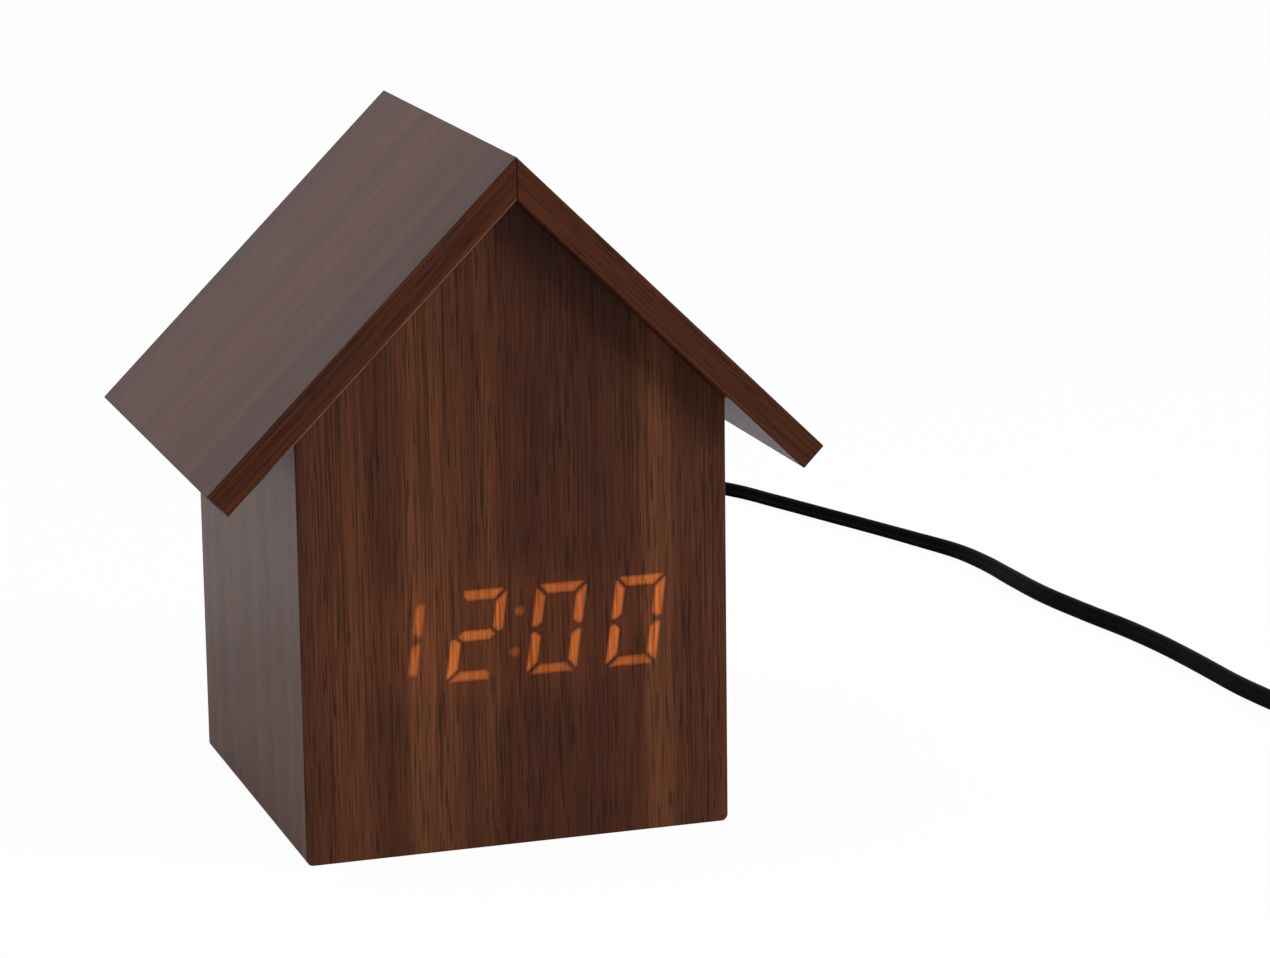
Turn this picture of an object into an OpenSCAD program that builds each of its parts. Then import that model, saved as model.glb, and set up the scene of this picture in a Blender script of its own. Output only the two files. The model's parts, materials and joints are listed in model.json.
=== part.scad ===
// House-shaped alarm clock: veneered boards, digits that shine through the front veneer,
// a control plate in the rear wall, and a flat twin lead whose spare length lies in a tied coil.
// Millimetres. The front wall faces -Y, +Z is up, and the origin is on the table under the ridge's middle.

/* [House] */
// Width of the body across its side walls
body_w = 100; // [96:1:140]
// Depth of the body from the front wall to the rear wall
body_d = 100; // [86:1:140]
// Height of the side walls at their outer faces
wall_h = 100; // [84:1:140]
// Slope of the roof in degrees
roof_pitch = 44.6; // [36:0.1:50]
// Thickness of the wall and floor boards
board_t = 6.8; // [5:0.1:8.6]
// Thickness of the roof boards
roof_t = 6.8; // [5:0.1:10]
// Reach of a roof board past its side wall, measured level
eave_overhang = 21.5; // [12:0.5:30]
// Reach of the roof past the front and rear walls
roof_overhang = 6.5; // [3:0.5:15]
// Rounding of the two lower long edges of the body
edge_r = 1.5; // [0.5:0.1:3]
// Thickness of the front veneer that the digits shine through
veneer_t = 0.5; // [0.3:0.1:1]

/* [Display] */
// Height of a digit
digit_h = 21.2; // [16:0.1:24]
// Width of a digit across its outer edges
digit_w = 12.2; // [9:0.1:14]
// Distance between neighbouring digits
digit_pitch = 18.8; // [16:0.1:20]
// Lean of the digits in degrees
digit_slant = 8; // [0:1:12]
// Width of a segment
segment_w = 2.6; // [1.6:0.1:3.4]
// Gap between neighbouring segments
segment_gap = 0.4; // [0.3:0.05:0.8]
// Diameter of a colon dot
colon_d = 2.4; // [1.6:0.1:3]
// Distance between the two colon dots
colon_spacing = 9.4; // [6:0.2:12]
// Height of the middle of the display above the table
display_z = 50; // [34:1:80]
// Rim of the segment mask outside the digits
mask_rim = 2; // [1.5:0.1:4.5]
// Thickness of the light spreader in each segment
spreader_t = 1.2; // [0.6:0.1:2]
// Gap between a light chip and the sides of its well
chip_room = 0.5; // [0.2:0.05:0.7]
// Height of a light chip
chip_h = 0.7; // [0.4:0.1:1]

/* [Rear panel] */
// Width of the control plate
plate_w = 80; // [76:1:90]
// Height of the control plate
plate_h = 66; // [60:1:80]
// Height of the plate's lower edge above the table
plate_lift = 10; // [2:1:20]
// Thickness of the control plate
plate_t = 2.4; // [2:0.1:3.2]
// Width of the ledge in the rear wall that carries the plate
plate_ledge = 6; // [5:0.1:8]
// Diameter of a button
button_d = 7; // [4:0.1:9]
// How far a button stands out of the plate
button_proud = 1.8; // [1:0.1:3]
// Travel of a button
button_travel = 0.6; // [0.3:0.1:1.2]
// Distance between the buttons
button_pitch = 12; // [10:0.2:14]
// Travel of the alarm switch
switch_travel = 3; // [1.5:0.1:4.5]
// How far the switch knob stands out of the plate
knob_proud = 2; // [1:0.1:4]
// Diameter of the battery door's hinge pins
hinge_pin_d = 1.2; // [0.8:0.1:1.4]
// Length of a hinge pin
hinge_pin_l = 2; // [1:0.1:3]

/* [Inside] */
// Thickness of the circuit boards
pcb_t = 1.6; // [1:0.1:2]
// Gap between the battery tray and the main circuit board
board_gap = 0.9; // [0.5:0.1:4]
// Diameter of the posts that carry the main circuit board
post_d = 5; // [3.6:0.1:6]
// Diameter of a battery cell
cell_d = 10.5; // [8:0.1:11]
// Length of a battery cell without its knob
cell_l = 43.5; // [38:0.1:46]
// Wall of the battery tray
tray_wall = 1.2; // [0.8:0.1:1.8]
// Diameter of the buzzer
buzzer_d = 9; // [6:0.5:14]
// Height of the buzzer
buzzer_h = 5.5; // [4:0.5:11]
// Width of the ribbon cable
ribbon_w = 10; // [6:1:20]
// Thickness of the ribbon cable
ribbon_t = 1; // [0.6:0.1:1.4]
// How far the ribbon cable sags
ribbon_sag = 18; // [4:1:26]

/* [Screws] */
// Shank diameter of the screws
screw_d = 2; // [1.4:0.1:2.4]
// Shank length of the screws
screw_l = 5; // [4:0.1:6]
// Head diameter of the screws
head_d = 3.8; // [3:0.1:4.4]
// Head height of the screws
head_h = 1.3; // [1:0.1:1.4]

/* [Power lead] */
// Diameter of the plug's metal barrel
barrel_d = 5.5; // [4:0.1:6.5]
// Bore of the plug's barrel
barrel_bore = 2.5; // [1.5:0.1:3]
// Length of the plug's barrel
barrel_l = 9.5; // [7:0.1:12]
// Diameter of the plug's grip
grip_d = 10; // [8:0.1:12]
// Length of the plug's grip
grip_l = 21; // [14:0.5:30]
// Length of the strain relief behind the grip
relief_l = 13.5; // [8:0.5:20]
// Height of the power socket above the plate's lower edge
jack_rise = 24; // [20:0.5:28]
// Width of the flat twin lead
cord_w = 5; // [3.6:0.1:6.4]
// Thickness of the flat twin lead
cord_t = 3; // [2:0.1:3.6]
// Turns in the coil
coil_turns = 4.5; // [2.5:1:6.5]
// Radius of the coil's outermost turn
coil_r = 33; // [26:0.5:45]
// Width of a coil tie
tie_w = 8; // [4:0.5:12]
// Thickness of a coil tie
tie_t = 0.8; // [0.5:0.1:1.2]
// Width of the supply plug's grip
usb_grip_w = 16; // [13:0.5:20]
// Length of the supply plug's grip
usb_grip_l = 24; // [16:0.5:34]

/* [Fits] */
// Gap round pieces that are let into a cut-out
fit_gap = 0.2; // [0.1:0.05:0.4]
// Gap round pieces that move
run_gap = 0.25; // [0.2:0.05:0.4]
// Gap round the hinge pins and screws
pin_gap = 0.1; // [0.05:0.01:0.15]
// Gap round larger pieces inside
room_gap = 0.6; // [0.3:0.1:1.5]
// Gap between the turns of the coil
turn_gap = 0.6; // [0.5:0.05:1]

/* [Hidden] */
$fn = 48;

walnut = "#4f2d22";
walnut_edge = "#5a3224";
black_abs = "#1d1d1f";
board_green = "#1f5a37";
steel = "#b9bcc0";
nickel = "#d0d2d4";
lead_black = "#121213";
amber = "#e07a2c";
cut = 1; // how far a cutter runs past the faces that it opens

// House
half_w = body_w / 2;
half_d = body_d / 2;
inner_x = half_w - board_t;
inner_y = half_d - board_t;
apex_z = wall_h + half_w * tan(roof_pitch);
ridge_z = apex_z + roof_t / cos(roof_pitch);
eave_x = half_w + eave_overhang;
eave_z = ridge_z - eave_x * tan(roof_pitch);
roof_y = half_d + roof_overhang;
front_y = -half_d + veneer_t;

// Display
half_digit_w = digit_w / 2;
half_digit_h = digit_h / 2;
lean = tan(digit_slant);
mitre = segment_gap / sqrt(2);
corner_cut = 1.1;   // length taken off the outer corners of a digit
corner_nick = 0.5;  // depth at which a corner's cut meets the mitre
middle_gap = 0.45;  // from the digit's middle line to the ends of its upright segments
tip_inset = 1.6;    // from the digit's side to the tips of its middle segment
digits = 4;
mask_w = (digits - 1) * digit_pitch + digit_w + digit_h * lean + 2 * mask_rim;
mask_h = digit_h + 2 * mask_rim;
window_w = mask_w + 2 * fit_gap;
window_h = mask_h + 2 * fit_gap;
screw_band = 6.5;   // band above and below the window that takes the display's screws
display_pcb_w = 2 * (inner_x - room_gap);
display_pcb_h = window_h + 2 * screw_band;
display_pcb_back = -inner_y + pcb_t;
display_screw_inset = 4;
display_screw_x = window_w / 2 - display_screw_inset;
display_screw_z = window_h / 2 + screw_band / 2;
chip_w = segment_w - 2 * chip_room;
driver_size = [16, 7.6, 2.4];
driver_x = 22;

// Rear panel
plate_in = half_d - plate_t;
plate_mid = half_d - plate_t / 2;
plate_top = plate_lift + plate_h;
plate_screw_x = plate_w / 2 - plate_ledge / 2;
plate_screw_z = [plate_lift + plate_ledge / 2, plate_top - plate_ledge / 2];
open_x = plate_w / 2 - plate_ledge;
open_z0 = plate_lift + plate_ledge;
open_z1 = plate_top - plate_ledge;

// Battery tray, in the corner of the opening at -X
cells = 3;
cell_knob_d = 3.8;
cell_knob_l = 1;
contact_t = 0.5;
spring_l = 2.5;
cell_pitch = cell_d + 2 * fit_gap;
bay_x0 = -open_x + room_gap + tray_wall;
bay_x1 = bay_x0 + cell_l + cell_knob_l + contact_t + spring_l;
bay_z0 = open_z0 + room_gap + tray_wall;
bay_z1 = bay_z0 + cells * cell_pitch;
bay_y = plate_in - cell_d - 2 * fit_gap;
pcb_out = bay_y - tray_wall - board_gap;
pcb_in = pcb_out - pcb_t;
tray_x1 = bay_x1 + tray_wall;
tray_top = bay_z1 + tray_wall;
hinge_x = bay_x0 + run_gap + plate_t / 2;

// Controls, in the strip above the tray and the column beside it
column_x = (tray_x1 + open_x) / 2;
row_z = (tray_top + open_z1) / 2;
post_inset = 4;
button_inset = 13;  // from the opening's side to the first button
post_places = [
    [open_x - post_inset, open_z1 - post_inset], [-open_x + post_inset, open_z1 - post_inset],
    [column_x, open_z0 + post_inset]
];
button_x = [for (i = [0 : 2]) open_x - button_inset - i * button_pitch];
flange_d = button_d + 2;
flange_t = 1;
stem_d = 3;
tact_w = 6;
tact_h = 3.6;
plunger_d = 3.4;
plunger_reach = 5;  // from the circuit board to the plunger's end
plunger_l = 2.4;
switch_x = (button_x[2] - open_x + post_inset) / 2;
switch_wall = 1.45;
slider_size = [5.6, 3, 2.6];
slot_l = slider_size.x + switch_travel + 2 * run_gap;
slot_w = slider_size.y + 2 * run_gap;
switch_size = [slot_l + 2 * switch_wall, slot_w + 2 * switch_wall, 5];
knob_side = 2.8;
jack_w = 9;
jack_z = plate_lift + jack_rise;
buzzer_z = (jack_z + jack_w / 2 + row_z - tact_w / 2) / 2;

// Power socket and plug
jack_bore = barrel_d + 0.7;
jack_face = plate_in - fit_gap;
jack_pin_d = barrel_bore - 0.5;
plug_gap = 0.5;     // between the plate and the plug's grip
grip_y0 = half_d + plug_gap;
barrel_end = grip_y0 - barrel_l;
jack_floor = barrel_end - 1;
relief_y0 = grip_y0 + grip_l;
relief_y1 = relief_y0 + relief_l;
relief_d = [cord_w + 2.6, cord_w + 1];

// Lead: points from the strain relief to the coil, as x, y, the height of the lead's underside
// and its roll in degrees, 0 where it lies flat and 90 on edge
cord_route = [
    [column_x, relief_y1, jack_z - cord_t / 2, 0], [column_x, relief_y1 + 12, jack_z - cord_t / 2 - 0.4, 0],
    [25, 110, 29.5, 0], [25, 123, 24, 0], [25, 136, 16.5, 0], [25, 149, 9, 0], [25, 162, 3.5, 0],
    [25, 176, 0.6, 10], [25, 192, 0, 20], [25, 210, 0, 30], [27, 232, 0, 40], [34, 256, 0, 45],
    [51, 278, 0, 45], [74, 292, 0, 45], [98, 295, 0, 45], [121, 290, 0, 45], [141, 277, 0, 45],
    [157, 255.5, 0, 50], [165.5, 235, 0, 50], [173, 215, 0, 50], [180.5, 195, 0, 50], [187.5, 175, 0, 55],
    [192.5, 159, 0, 65], [194.5, 143, 0, 80], [195, 125, 0, 90], [196, 105, 0, 90], [199, 84, 0, 90],
    [202.5, 64, 0, 90], [204.5, 46, 0, 90], [205.5, 26, 0, 90], [206, 6, 0, 90], [207, -10, 0.3, 90],
    [208, -23, 0.8, 90], [208, -35, 1, 90]
];
route_steps = 2;    // rings for each route point
cord_sides = 12;

// Coil: it spirals in on the table, climbs a layer and spirals out on top
lead_in = cord_w;   // straight stretch at the start of the coil
route_end = cord_route[len(cord_route) - 1];
coil_center = [route_end.x + coil_r, route_end.y - lead_in];
loop_rings = 24;
turn_pitch = cord_t + turn_gap;
layer_h = cord_w + turn_gap;
tie_seat = 0.2;     // between a tie and the coil's lowest turns
coil_z = tie_t + tie_seat + cord_w / 2;
coil_angle = coil_turns * 360;
coil_inner_r = coil_r - turn_pitch * coil_turns / 2;
tie_gap = 0.6;
usb_grip_t = 8;
usb_z = usb_grip_t / 2;
tail_top = coil_z + layer_h;
tail_drop = tail_top - usb_z;
// Way of the lead's end from the coil, and its height
tail = [
    [10, tail_top], [20, tail_top - 0.3 * tail_drop], [30, usb_z + 0.2 * tail_drop], [38, usb_z], [45, usb_z]
];
usb_x = coil_center.x + coil_r;
usb_y = coil_center.y + tail[len(tail) - 1].x;
shell_size = [12, 18.7, 4.5];
shell_wall = 0.3;
tongue_t = 1.8;

// Points and rings of a tube along a path of [x, y, z, roll]
function unit(v) = v / norm(v);
function xyz(p) = [p.x, p.y, p.z];
function bend(p, k, u) =
    let (a = p[max(k - 1, 0)], b = p[k], c = p[k + 1], d = p[min(k + 2, len(p) - 1)])
    (2 * b + (c - a) * u + (2 * a - 5 * b + 4 * c - d) * u * u + (3 * b - a - 3 * c + d) * u * u * u) / 2;
function smooth(p, steps) = concat(
    [for (k = [0 : len(p) - 2]) for (j = [0 : steps - 1]) bend(p, k, j / steps)], [p[len(p) - 1]]);
function heading(path, i) = unit(xyz(path[min(i + 1, len(path) - 1)]) - xyz(path[max(i - 1, 0)]));
// Sections of the lead, wide and thick: a rounded one, and a plain one for the coil
oval = [for (i = [0 : cord_sides - 1]) let (a = 360 * i / cord_sides)
    [sign(round(1000 * cos(a))) * (cord_w - cord_t) / 2 + cord_t / 2 * cos(a), cord_t / 2 * sin(a)]];
hexagon = [
    [cord_w / 2, 0], [cord_w / 4, cord_t / 2], [-cord_w / 4, cord_t / 2],
    [-cord_w / 2, 0], [-cord_w / 4, -cord_t / 2], [cord_w / 4, -cord_t / 2]
];
function lie(roll) = cord_t / 2 + (cord_w - cord_t) / 2 * abs(sin(roll));
function turn(q, r) = [q.x * cos(r) - q.y * sin(r), q.x * sin(r) + q.y * cos(r)];
function ring(p, section, ahead) =
    let (side = unit(cross(ahead, [0, 0, 1])), up = cross(side, ahead))
    [for (q = section) let (t = turn(q, p[3])) xyz(p) + side * t.x + up * t.y];
function tube_rings(path, section, first, last) = [for (i = [0 : len(path) - 1])
    ring(path[i], section, i == 0 ? first : i == len(path) - 1 ? last : heading(path, i))];
function sum(v, i = 0) = i == len(v) ? 0 : v[i] + sum(v, i + 1);
function path_length(path) = sum([for (i = [1 : len(path) - 1]) norm(xyz(path[i]) - xyz(path[i - 1]))]);

module tube(rings) {
    n = len(rings[0]);
    last = len(rings) - 1;
    polyhedron(
        points = [for (r = rings) each r],
        faces = concat(
            [for (k = [0 : last - 1]) for (i = [0 : n - 1]) let (j = (i + 1) % n, a = k * n, b = a + n)
                each [[a + i, b + j, a + j], [a + i, b + i, b + j]]],
            [for (i = [1 : n - 2]) each [[0, i, i + 1], [last * n, last * n + i + 1, last * n + i]]]));
}

cord_path = [for (p = smooth(cord_route, route_steps)) [p.x, p.y, p.z + lie(p[3]), p[3]]];
function coil_radius(a) = coil_inner_r + turn_pitch * abs(a - coil_angle / 2) / 360;
function coil_height(a) = coil_z + layer_h * min(max((a - coil_angle / 2 + 90) / 180, 0), 1);
coil_path = concat(
    [[route_end.x, route_end.y, coil_z, 90]],
    [for (a = [0 : 360 / loop_rings : coil_angle]) let (r = coil_radius(a))
        [coil_center.x - r * cos(a), coil_center.y - r * sin(a), coil_height(a), 90]],
    [for (p = tail) [usb_x, coil_center.y + p[0], p[1], 90]]);
cord_rings = tube_rings(cord_path, oval, [0, 1, 0], [0, -1, 0]);
coil_rings = tube_rings(coil_path, hexagon, [0, -1, 0], [0, 1, 0]);
half_loop = loop_rings / 2;
coil_gap = min([for (i = [0 : len(coil_rings) - half_loop - 1])
    for (j = [i + half_loop : len(coil_rings) - 1])
        for (p = coil_rings[i]) for (q = coil_rings[j]) norm(p - q)]);

// A flat shape in x and z, as a solid from y0 to y1
module along_y(y0, y1) {
    translate([0, y1, 0]) rotate([90, 0, 0]) linear_extrude(y1 - y0) children();
}

// A rod along y
module rod(x, z, y0, y1, d) {
    translate([x, y1, z]) rotate([90, 0, 0]) cylinder(d = d, h = y1 - y0);
}

module rectangle(x0, z0, x1, z1) {
    translate([x0, z0]) square([x1 - x0, z1 - z0]);
}

// A block centred on x and z
module block(x, z, y0, y1, w, h) {
    along_y(y0, y1) rectangle(x - w / 2, z - h / 2, x + w / 2, z + h / 2);
}

// A screw whose head rests at y and whose shank runs the way of dir
module screw(x, z, y, dir) {
    rod(x, z, min(y, y - dir * head_h), max(y, y - dir * head_h), head_d);
    rod(x, z, min(y, y + dir * screw_l), max(y, y + dir * screw_l), screw_d);
}

// House

module body_profile() {
    polygon([
        [-half_w, edge_r], [-half_w + edge_r, 0], [half_w - edge_r, 0], [half_w, edge_r],
        [half_w, wall_h], [0, apex_z], [-half_w, wall_h]
    ]);
    for (side = [-1, 1]) translate([side * (half_w - edge_r), edge_r]) circle(edge_r);
}

// The boards meet in mitres at the four upright corners, behind the front veneer
module side_wall(side) {
    intersection() {
        along_y(front_y, half_d) body_profile();
        linear_extrude(ridge_z) polygon([for (p = [
            [half_w, front_y], [half_w - veneer_t, front_y], [inner_x, -inner_y], [inner_x, inner_y],
            [half_w, half_d]
        ]) [side * p.x, p.y]]);
    }
}

module end_wall(y0, x0, y1, x1) {
    intersection() {
        along_y(min(y0, y1), max(y0, y1)) body_profile();
        linear_extrude(ridge_z) polygon([[-x0, y0], [x0, y0], [x1, y1], [-x1, y1]]);
    }
}

module roof_board(side) {
    along_y(-roof_y, roof_y) polygon([for (p = [
        [0, apex_z], [0, ridge_z], [eave_x, eave_z],
        [eave_x - roof_t * sin(roof_pitch), eave_z - roof_t * cos(roof_pitch)]
    ]) [side * p.x, p.y]]);
}

module roof_left() { color(walnut) roof_board(-1); }
module roof_right() { color(walnut) roof_board(1); }
module wall_left() { color(walnut) side_wall(-1); }
module wall_right() { color(walnut) side_wall(1); }

module floor_board() {
    color(walnut_edge) translate([-inner_x, -inner_y, 0]) cube([2 * inner_x, 2 * inner_y, board_t]);
}

module front_board() {
    color(walnut_edge) difference() {
        end_wall(front_y, half_w - veneer_t, -inner_y, inner_x);
        block(0, display_z, front_y - cut, -inner_y + cut, window_w, window_h);
        for (p = display_screw_places())
            rod(p.x, p.y, display_pcb_back - screw_l - pin_gap, -inner_y + cut, screw_d + 2 * pin_gap);
    }
}

module front_veneer() {
    color(walnut) along_y(-half_d, front_y) body_profile();
}

module rear_board() {
    color(walnut) difference() {
        end_wall(half_d, half_w, inner_y, inner_x);
        along_y(plate_in, half_d + cut) rectangle(
            -plate_w / 2 - fit_gap, plate_lift - fit_gap, plate_w / 2 + fit_gap, plate_top + fit_gap);
        along_y(inner_y - cut, half_d) rectangle(-open_x, open_z0, open_x, open_z1);
        for (p = plate_screw_places())
            rod(p.x, p.y, half_d - head_h - screw_l - pin_gap, half_d, screw_d + 2 * pin_gap);
    }
}

// Display

function display_screw_places() =
    [for (sx = [-1, 1]) for (sz = [-1, 1]) [sx * display_screw_x, display_z + sz * display_screw_z]];
function digit_x(i) = (i - (digits - 1) / 2) * digit_pitch;
function mirrored(points, sx, sz) = [for (p = points) [sx * p.x, sz * p.y]];
function leaning(points) = [for (p = points) [p.x + p.y * lean, p.y]];

level_bar = [
    [corner_cut - half_digit_w, half_digit_h], [half_digit_w - corner_cut, half_digit_h],
    [half_digit_w - corner_nick - mitre, half_digit_h - corner_nick],
    [half_digit_w - segment_w - mitre, half_digit_h - segment_w],
    [segment_w + mitre - half_digit_w, half_digit_h - segment_w],
    [corner_nick + mitre - half_digit_w, half_digit_h - corner_nick]
];
upright_bar = [
    [half_digit_w, half_digit_h - corner_cut], [half_digit_w, 2 * middle_gap],
    [half_digit_w - middle_gap, middle_gap], [half_digit_w - tip_inset + mitre, middle_gap],
    [half_digit_w - segment_w, segment_w / 2 + mitre],
    [half_digit_w - segment_w, half_digit_h - segment_w - mitre],
    [half_digit_w - corner_nick, half_digit_h - corner_nick - mitre]
];
middle_bar = [for (s = [1, -1]) each [
    [s * (tip_inset - half_digit_w), 0], [s * (tip_inset + segment_w / 2 - half_digit_w), s * segment_w / 2],
    [s * (half_digit_w - tip_inset - segment_w / 2), s * segment_w / 2]
]];
segments = concat(
    [level_bar, mirrored(level_bar, 1, -1), middle_bar],
    [for (sx = [-1, 1]) for (sz = [-1, 1]) mirrored(upright_bar, sx, sz)]);
colon_places = [for (s = [-1, 1]) [s * colon_spacing / 2 * lean, display_z + s * colon_spacing / 2]];
function middle(points) = [for (k = [0, 1]) let (v = [for (p = points) p[k]]) (min(v) + max(v)) / 2];

module segment_shapes() {
    for (i = [0 : digits - 1]) translate([digit_x(i), display_z])
        for (s = segments) polygon(leaning(s));
    for (p = colon_places) translate(p) circle(d = colon_d);
}

module display_mask() {
    color(black_abs) difference() {
        block(0, display_z, front_y, -inner_y, mask_w, mask_h);
        along_y(front_y - cut, -inner_y + cut) segment_shapes();
    }
}

module segment_spreaders() {
    color(amber) along_y(front_y, front_y + spreader_t) segment_shapes();
}

module segment_chips() {
    color("#e8e2c8") {
        for (i = [0 : digits - 1]) for (s = segments) {
            p = middle(leaning(s));
            block(digit_x(i) + p.x, display_z + p.y, -inner_y - chip_h, -inner_y, chip_w, chip_w);
        }
        dot_chip_w = (colon_d - 2 * chip_room) / sqrt(2);
        for (p = colon_places) block(p.x, p.y, -inner_y - chip_h, -inner_y, dot_chip_w, dot_chip_w);
    }
}

module display_pcb() {
    color(board_green) difference() {
        block(0, display_z, -inner_y, display_pcb_back, display_pcb_w, display_pcb_h);
        for (p = display_screw_places())
            rod(p.x, p.y, -inner_y - cut, display_pcb_back + cut, screw_d + 2 * fit_gap);
    }
}

module display_driver() {
    color(black_abs) block(driver_x, display_z, display_pcb_back, display_pcb_back + driver_size.z,
        driver_size.x, driver_size.y);
}

module display_screws() {
    color(steel) for (p = display_screw_places()) screw(p.x, p.y, display_pcb_back, -1);
}

// Rear panel

function plate_screw_places() = [for (sx = [-1, 1]) for (z = plate_screw_z) [sx * plate_screw_x, z]];

module control_plate() {
    color(black_abs) difference() {
        union() {
            along_y(plate_in, half_d) rectangle(-plate_w / 2, plate_lift, plate_w / 2, plate_top);
            for (p = post_places) rod(p.x, p.y, pcb_out, plate_in, post_d);
        }
        along_y(plate_in - cut, half_d + cut) rectangle(bay_x0, bay_z0, bay_x1, bay_z1);
        translate([hinge_x, plate_mid, bay_z0 - hinge_pin_l])
            cylinder(d = hinge_pin_d + 2 * pin_gap, h = bay_z1 - bay_z0 + 2 * hinge_pin_l);
        for (x = button_x) rod(x, row_z, plate_in - cut, half_d + cut, button_d + 2 * run_gap);
        block(switch_x, row_z, plate_in - cut, half_d + cut,
            knob_side + switch_travel + 2 * run_gap, knob_side + 2 * run_gap);
        rod(column_x, jack_z, plate_in - cut, half_d + cut, jack_bore);
        for (p = sound_holes()) rod(p.x, p.y, plate_in - cut, half_d + cut, sound_hole_d);
        for (p = plate_screw_places()) {
            rod(p.x, p.y, plate_in - cut, half_d + cut, screw_d + 2 * fit_gap);
            rod(p.x, p.y, half_d - head_h, half_d + cut, head_d + 2 * fit_gap);
        }
        for (p = post_places)
            rod(p.x, p.y, pcb_out - cut, pcb_in + screw_l + pin_gap, screw_d + 2 * pin_gap);
    }
}

sound_hole_d = 1.6;
sound_rim = 1.7;    // from the buzzer's edge to the middles of the outer holes
sound_ring_r = buzzer_d / 2 - sound_rim;
function sound_holes() = concat([[column_x, buzzer_z]],
    [for (a = [0 : 60 : 300]) [column_x + sound_ring_r * cos(a), buzzer_z + sound_ring_r * sin(a)]]);

module plate_screws() {
    color(steel) for (p = plate_screw_places()) screw(p.x, p.y, half_d - head_h, -1);
}

module push_button(x) {
    bevel = 0.5;
    flange_y = plate_in - run_gap;
    end_y = half_d + button_proud;
    rod(x, row_z, flange_y - flange_t, flange_y, flange_d);
    rod(x, row_z, flange_y, end_y - bevel, button_d);
    translate([x, end_y - bevel, row_z]) rotate([-90, 0, 0])
        cylinder(d1 = button_d, d2 = button_d - 2 * bevel, h = bevel);
    rod(x, row_z, pcb_out + plunger_reach, flange_y - flange_t, stem_d);
}

module plunger(x) {
    rod(x, row_z, pcb_out + plunger_reach - plunger_l, pcb_out + plunger_reach, plunger_d);
}

module set_button() { color("#2a2a2c") push_button(button_x[0]); }
module up_button() { color("#2a2a2c") push_button(button_x[1]); }
module down_button() { color("#2a2a2c") push_button(button_x[2]); }
module set_plunger() { color("#3a3a3c") plunger(button_x[0]); }
module up_plunger() { color("#3a3a3c") plunger(button_x[1]); }
module down_plunger() { color("#3a3a3c") plunger(button_x[2]); }

module button_switches() {
    color(steel) for (x = button_x) difference() {
        block(x, row_z, pcb_out, pcb_out + tact_h, tact_w, tact_w);
        rod(x, row_z, pcb_out + plunger_reach - plunger_l - button_travel - run_gap, pcb_out + tact_h + cut,
            plunger_d + 2 * run_gap);
    }
}

slider_y = pcb_out + switch_size.z - slider_size.z;

module alarm_switch() {
    color(steel) difference() {
        block(switch_x, row_z, pcb_out, pcb_out + switch_size.z, switch_size.x, switch_size.y);
        block(switch_x, row_z, slider_y - run_gap, pcb_out + switch_size.z + cut,
            slot_l, slot_w);
    }
}

module alarm_knob() {
    x = switch_x - switch_travel / 2;
    color("#2a2a2c") {
        block(x, row_z, slider_y, slider_y + slider_size.z, slider_size.x, slider_size.y);
        block(x, row_z, slider_y + slider_size.z, half_d + knob_proud, knob_side, knob_side);
    }
}

// The door swings on two pins at its -X edge, which is rounded about their axis
module battery_door() {
    grooves = 4;
    groove_pitch = 2;
    groove_w = 1;
    groove_depth = 0.5;
    free_x = bay_x1 - run_gap;
    z0 = bay_z0 + run_gap;
    z1 = bay_z1 - run_gap;
    color("#222224") difference() {
        union() {
            along_y(plate_in, half_d) rectangle(hinge_x, z0, free_x, z1);
            translate([hinge_x, plate_mid, z0]) cylinder(d = plate_t, h = z1 - z0);
            translate([hinge_x, plate_mid, bay_z0 - hinge_pin_l + pin_gap])
                cylinder(d = hinge_pin_d, h = bay_z1 - bay_z0 + 2 * hinge_pin_l - 2 * pin_gap);
        }
        for (i = [1 : grooves])
            block(free_x - i * groove_pitch - groove_w, (z0 + z1) / 2, half_d - groove_depth, half_d + cut,
                groove_w, (z1 - z0) / 2);
    }
}

// Inside

module battery_tray() {
    rib_t = 0.6;
    rib_h = 2;
    color(black_abs) {
        difference() {
            along_y(bay_y - tray_wall, plate_in)
                rectangle(bay_x0 - tray_wall, bay_z0 - tray_wall, tray_x1, tray_top);
            along_y(bay_y, plate_in + cut) rectangle(bay_x0, bay_z0, bay_x1, bay_z1);
        }
        for (i = [1 : cells - 1]) along_y(bay_y, bay_y + rib_h)
            rectangle(bay_x0 + spring_l + contact_t, bay_z0 + i * cell_pitch - rib_t / 2,
                bay_x1 - spring_l - contact_t, bay_z0 + i * cell_pitch + rib_t / 2);
    }
}

// Every second cell lies the other way round
function cell_z(i) = bay_z0 + (i + 0.5) * cell_pitch;
cell_y = bay_y + fit_gap + cell_d / 2;

module turned(i) {
    translate([i % 2 == 0 ? bay_x0 : bay_x1, cell_y, cell_z(i)]) mirror([i % 2, 0, 0]) children();
}

module battery_cells() {
    color("#8a6a3a") for (i = [0 : cells - 1]) turned(i) {
        translate([spring_l, 0, 0]) rotate([0, 90, 0]) cylinder(d = cell_d, h = cell_l);
        translate([spring_l + cell_l, 0, 0]) rotate([0, 90, 0]) cylinder(d = cell_knob_d, h = cell_knob_l);
    }
}

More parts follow.
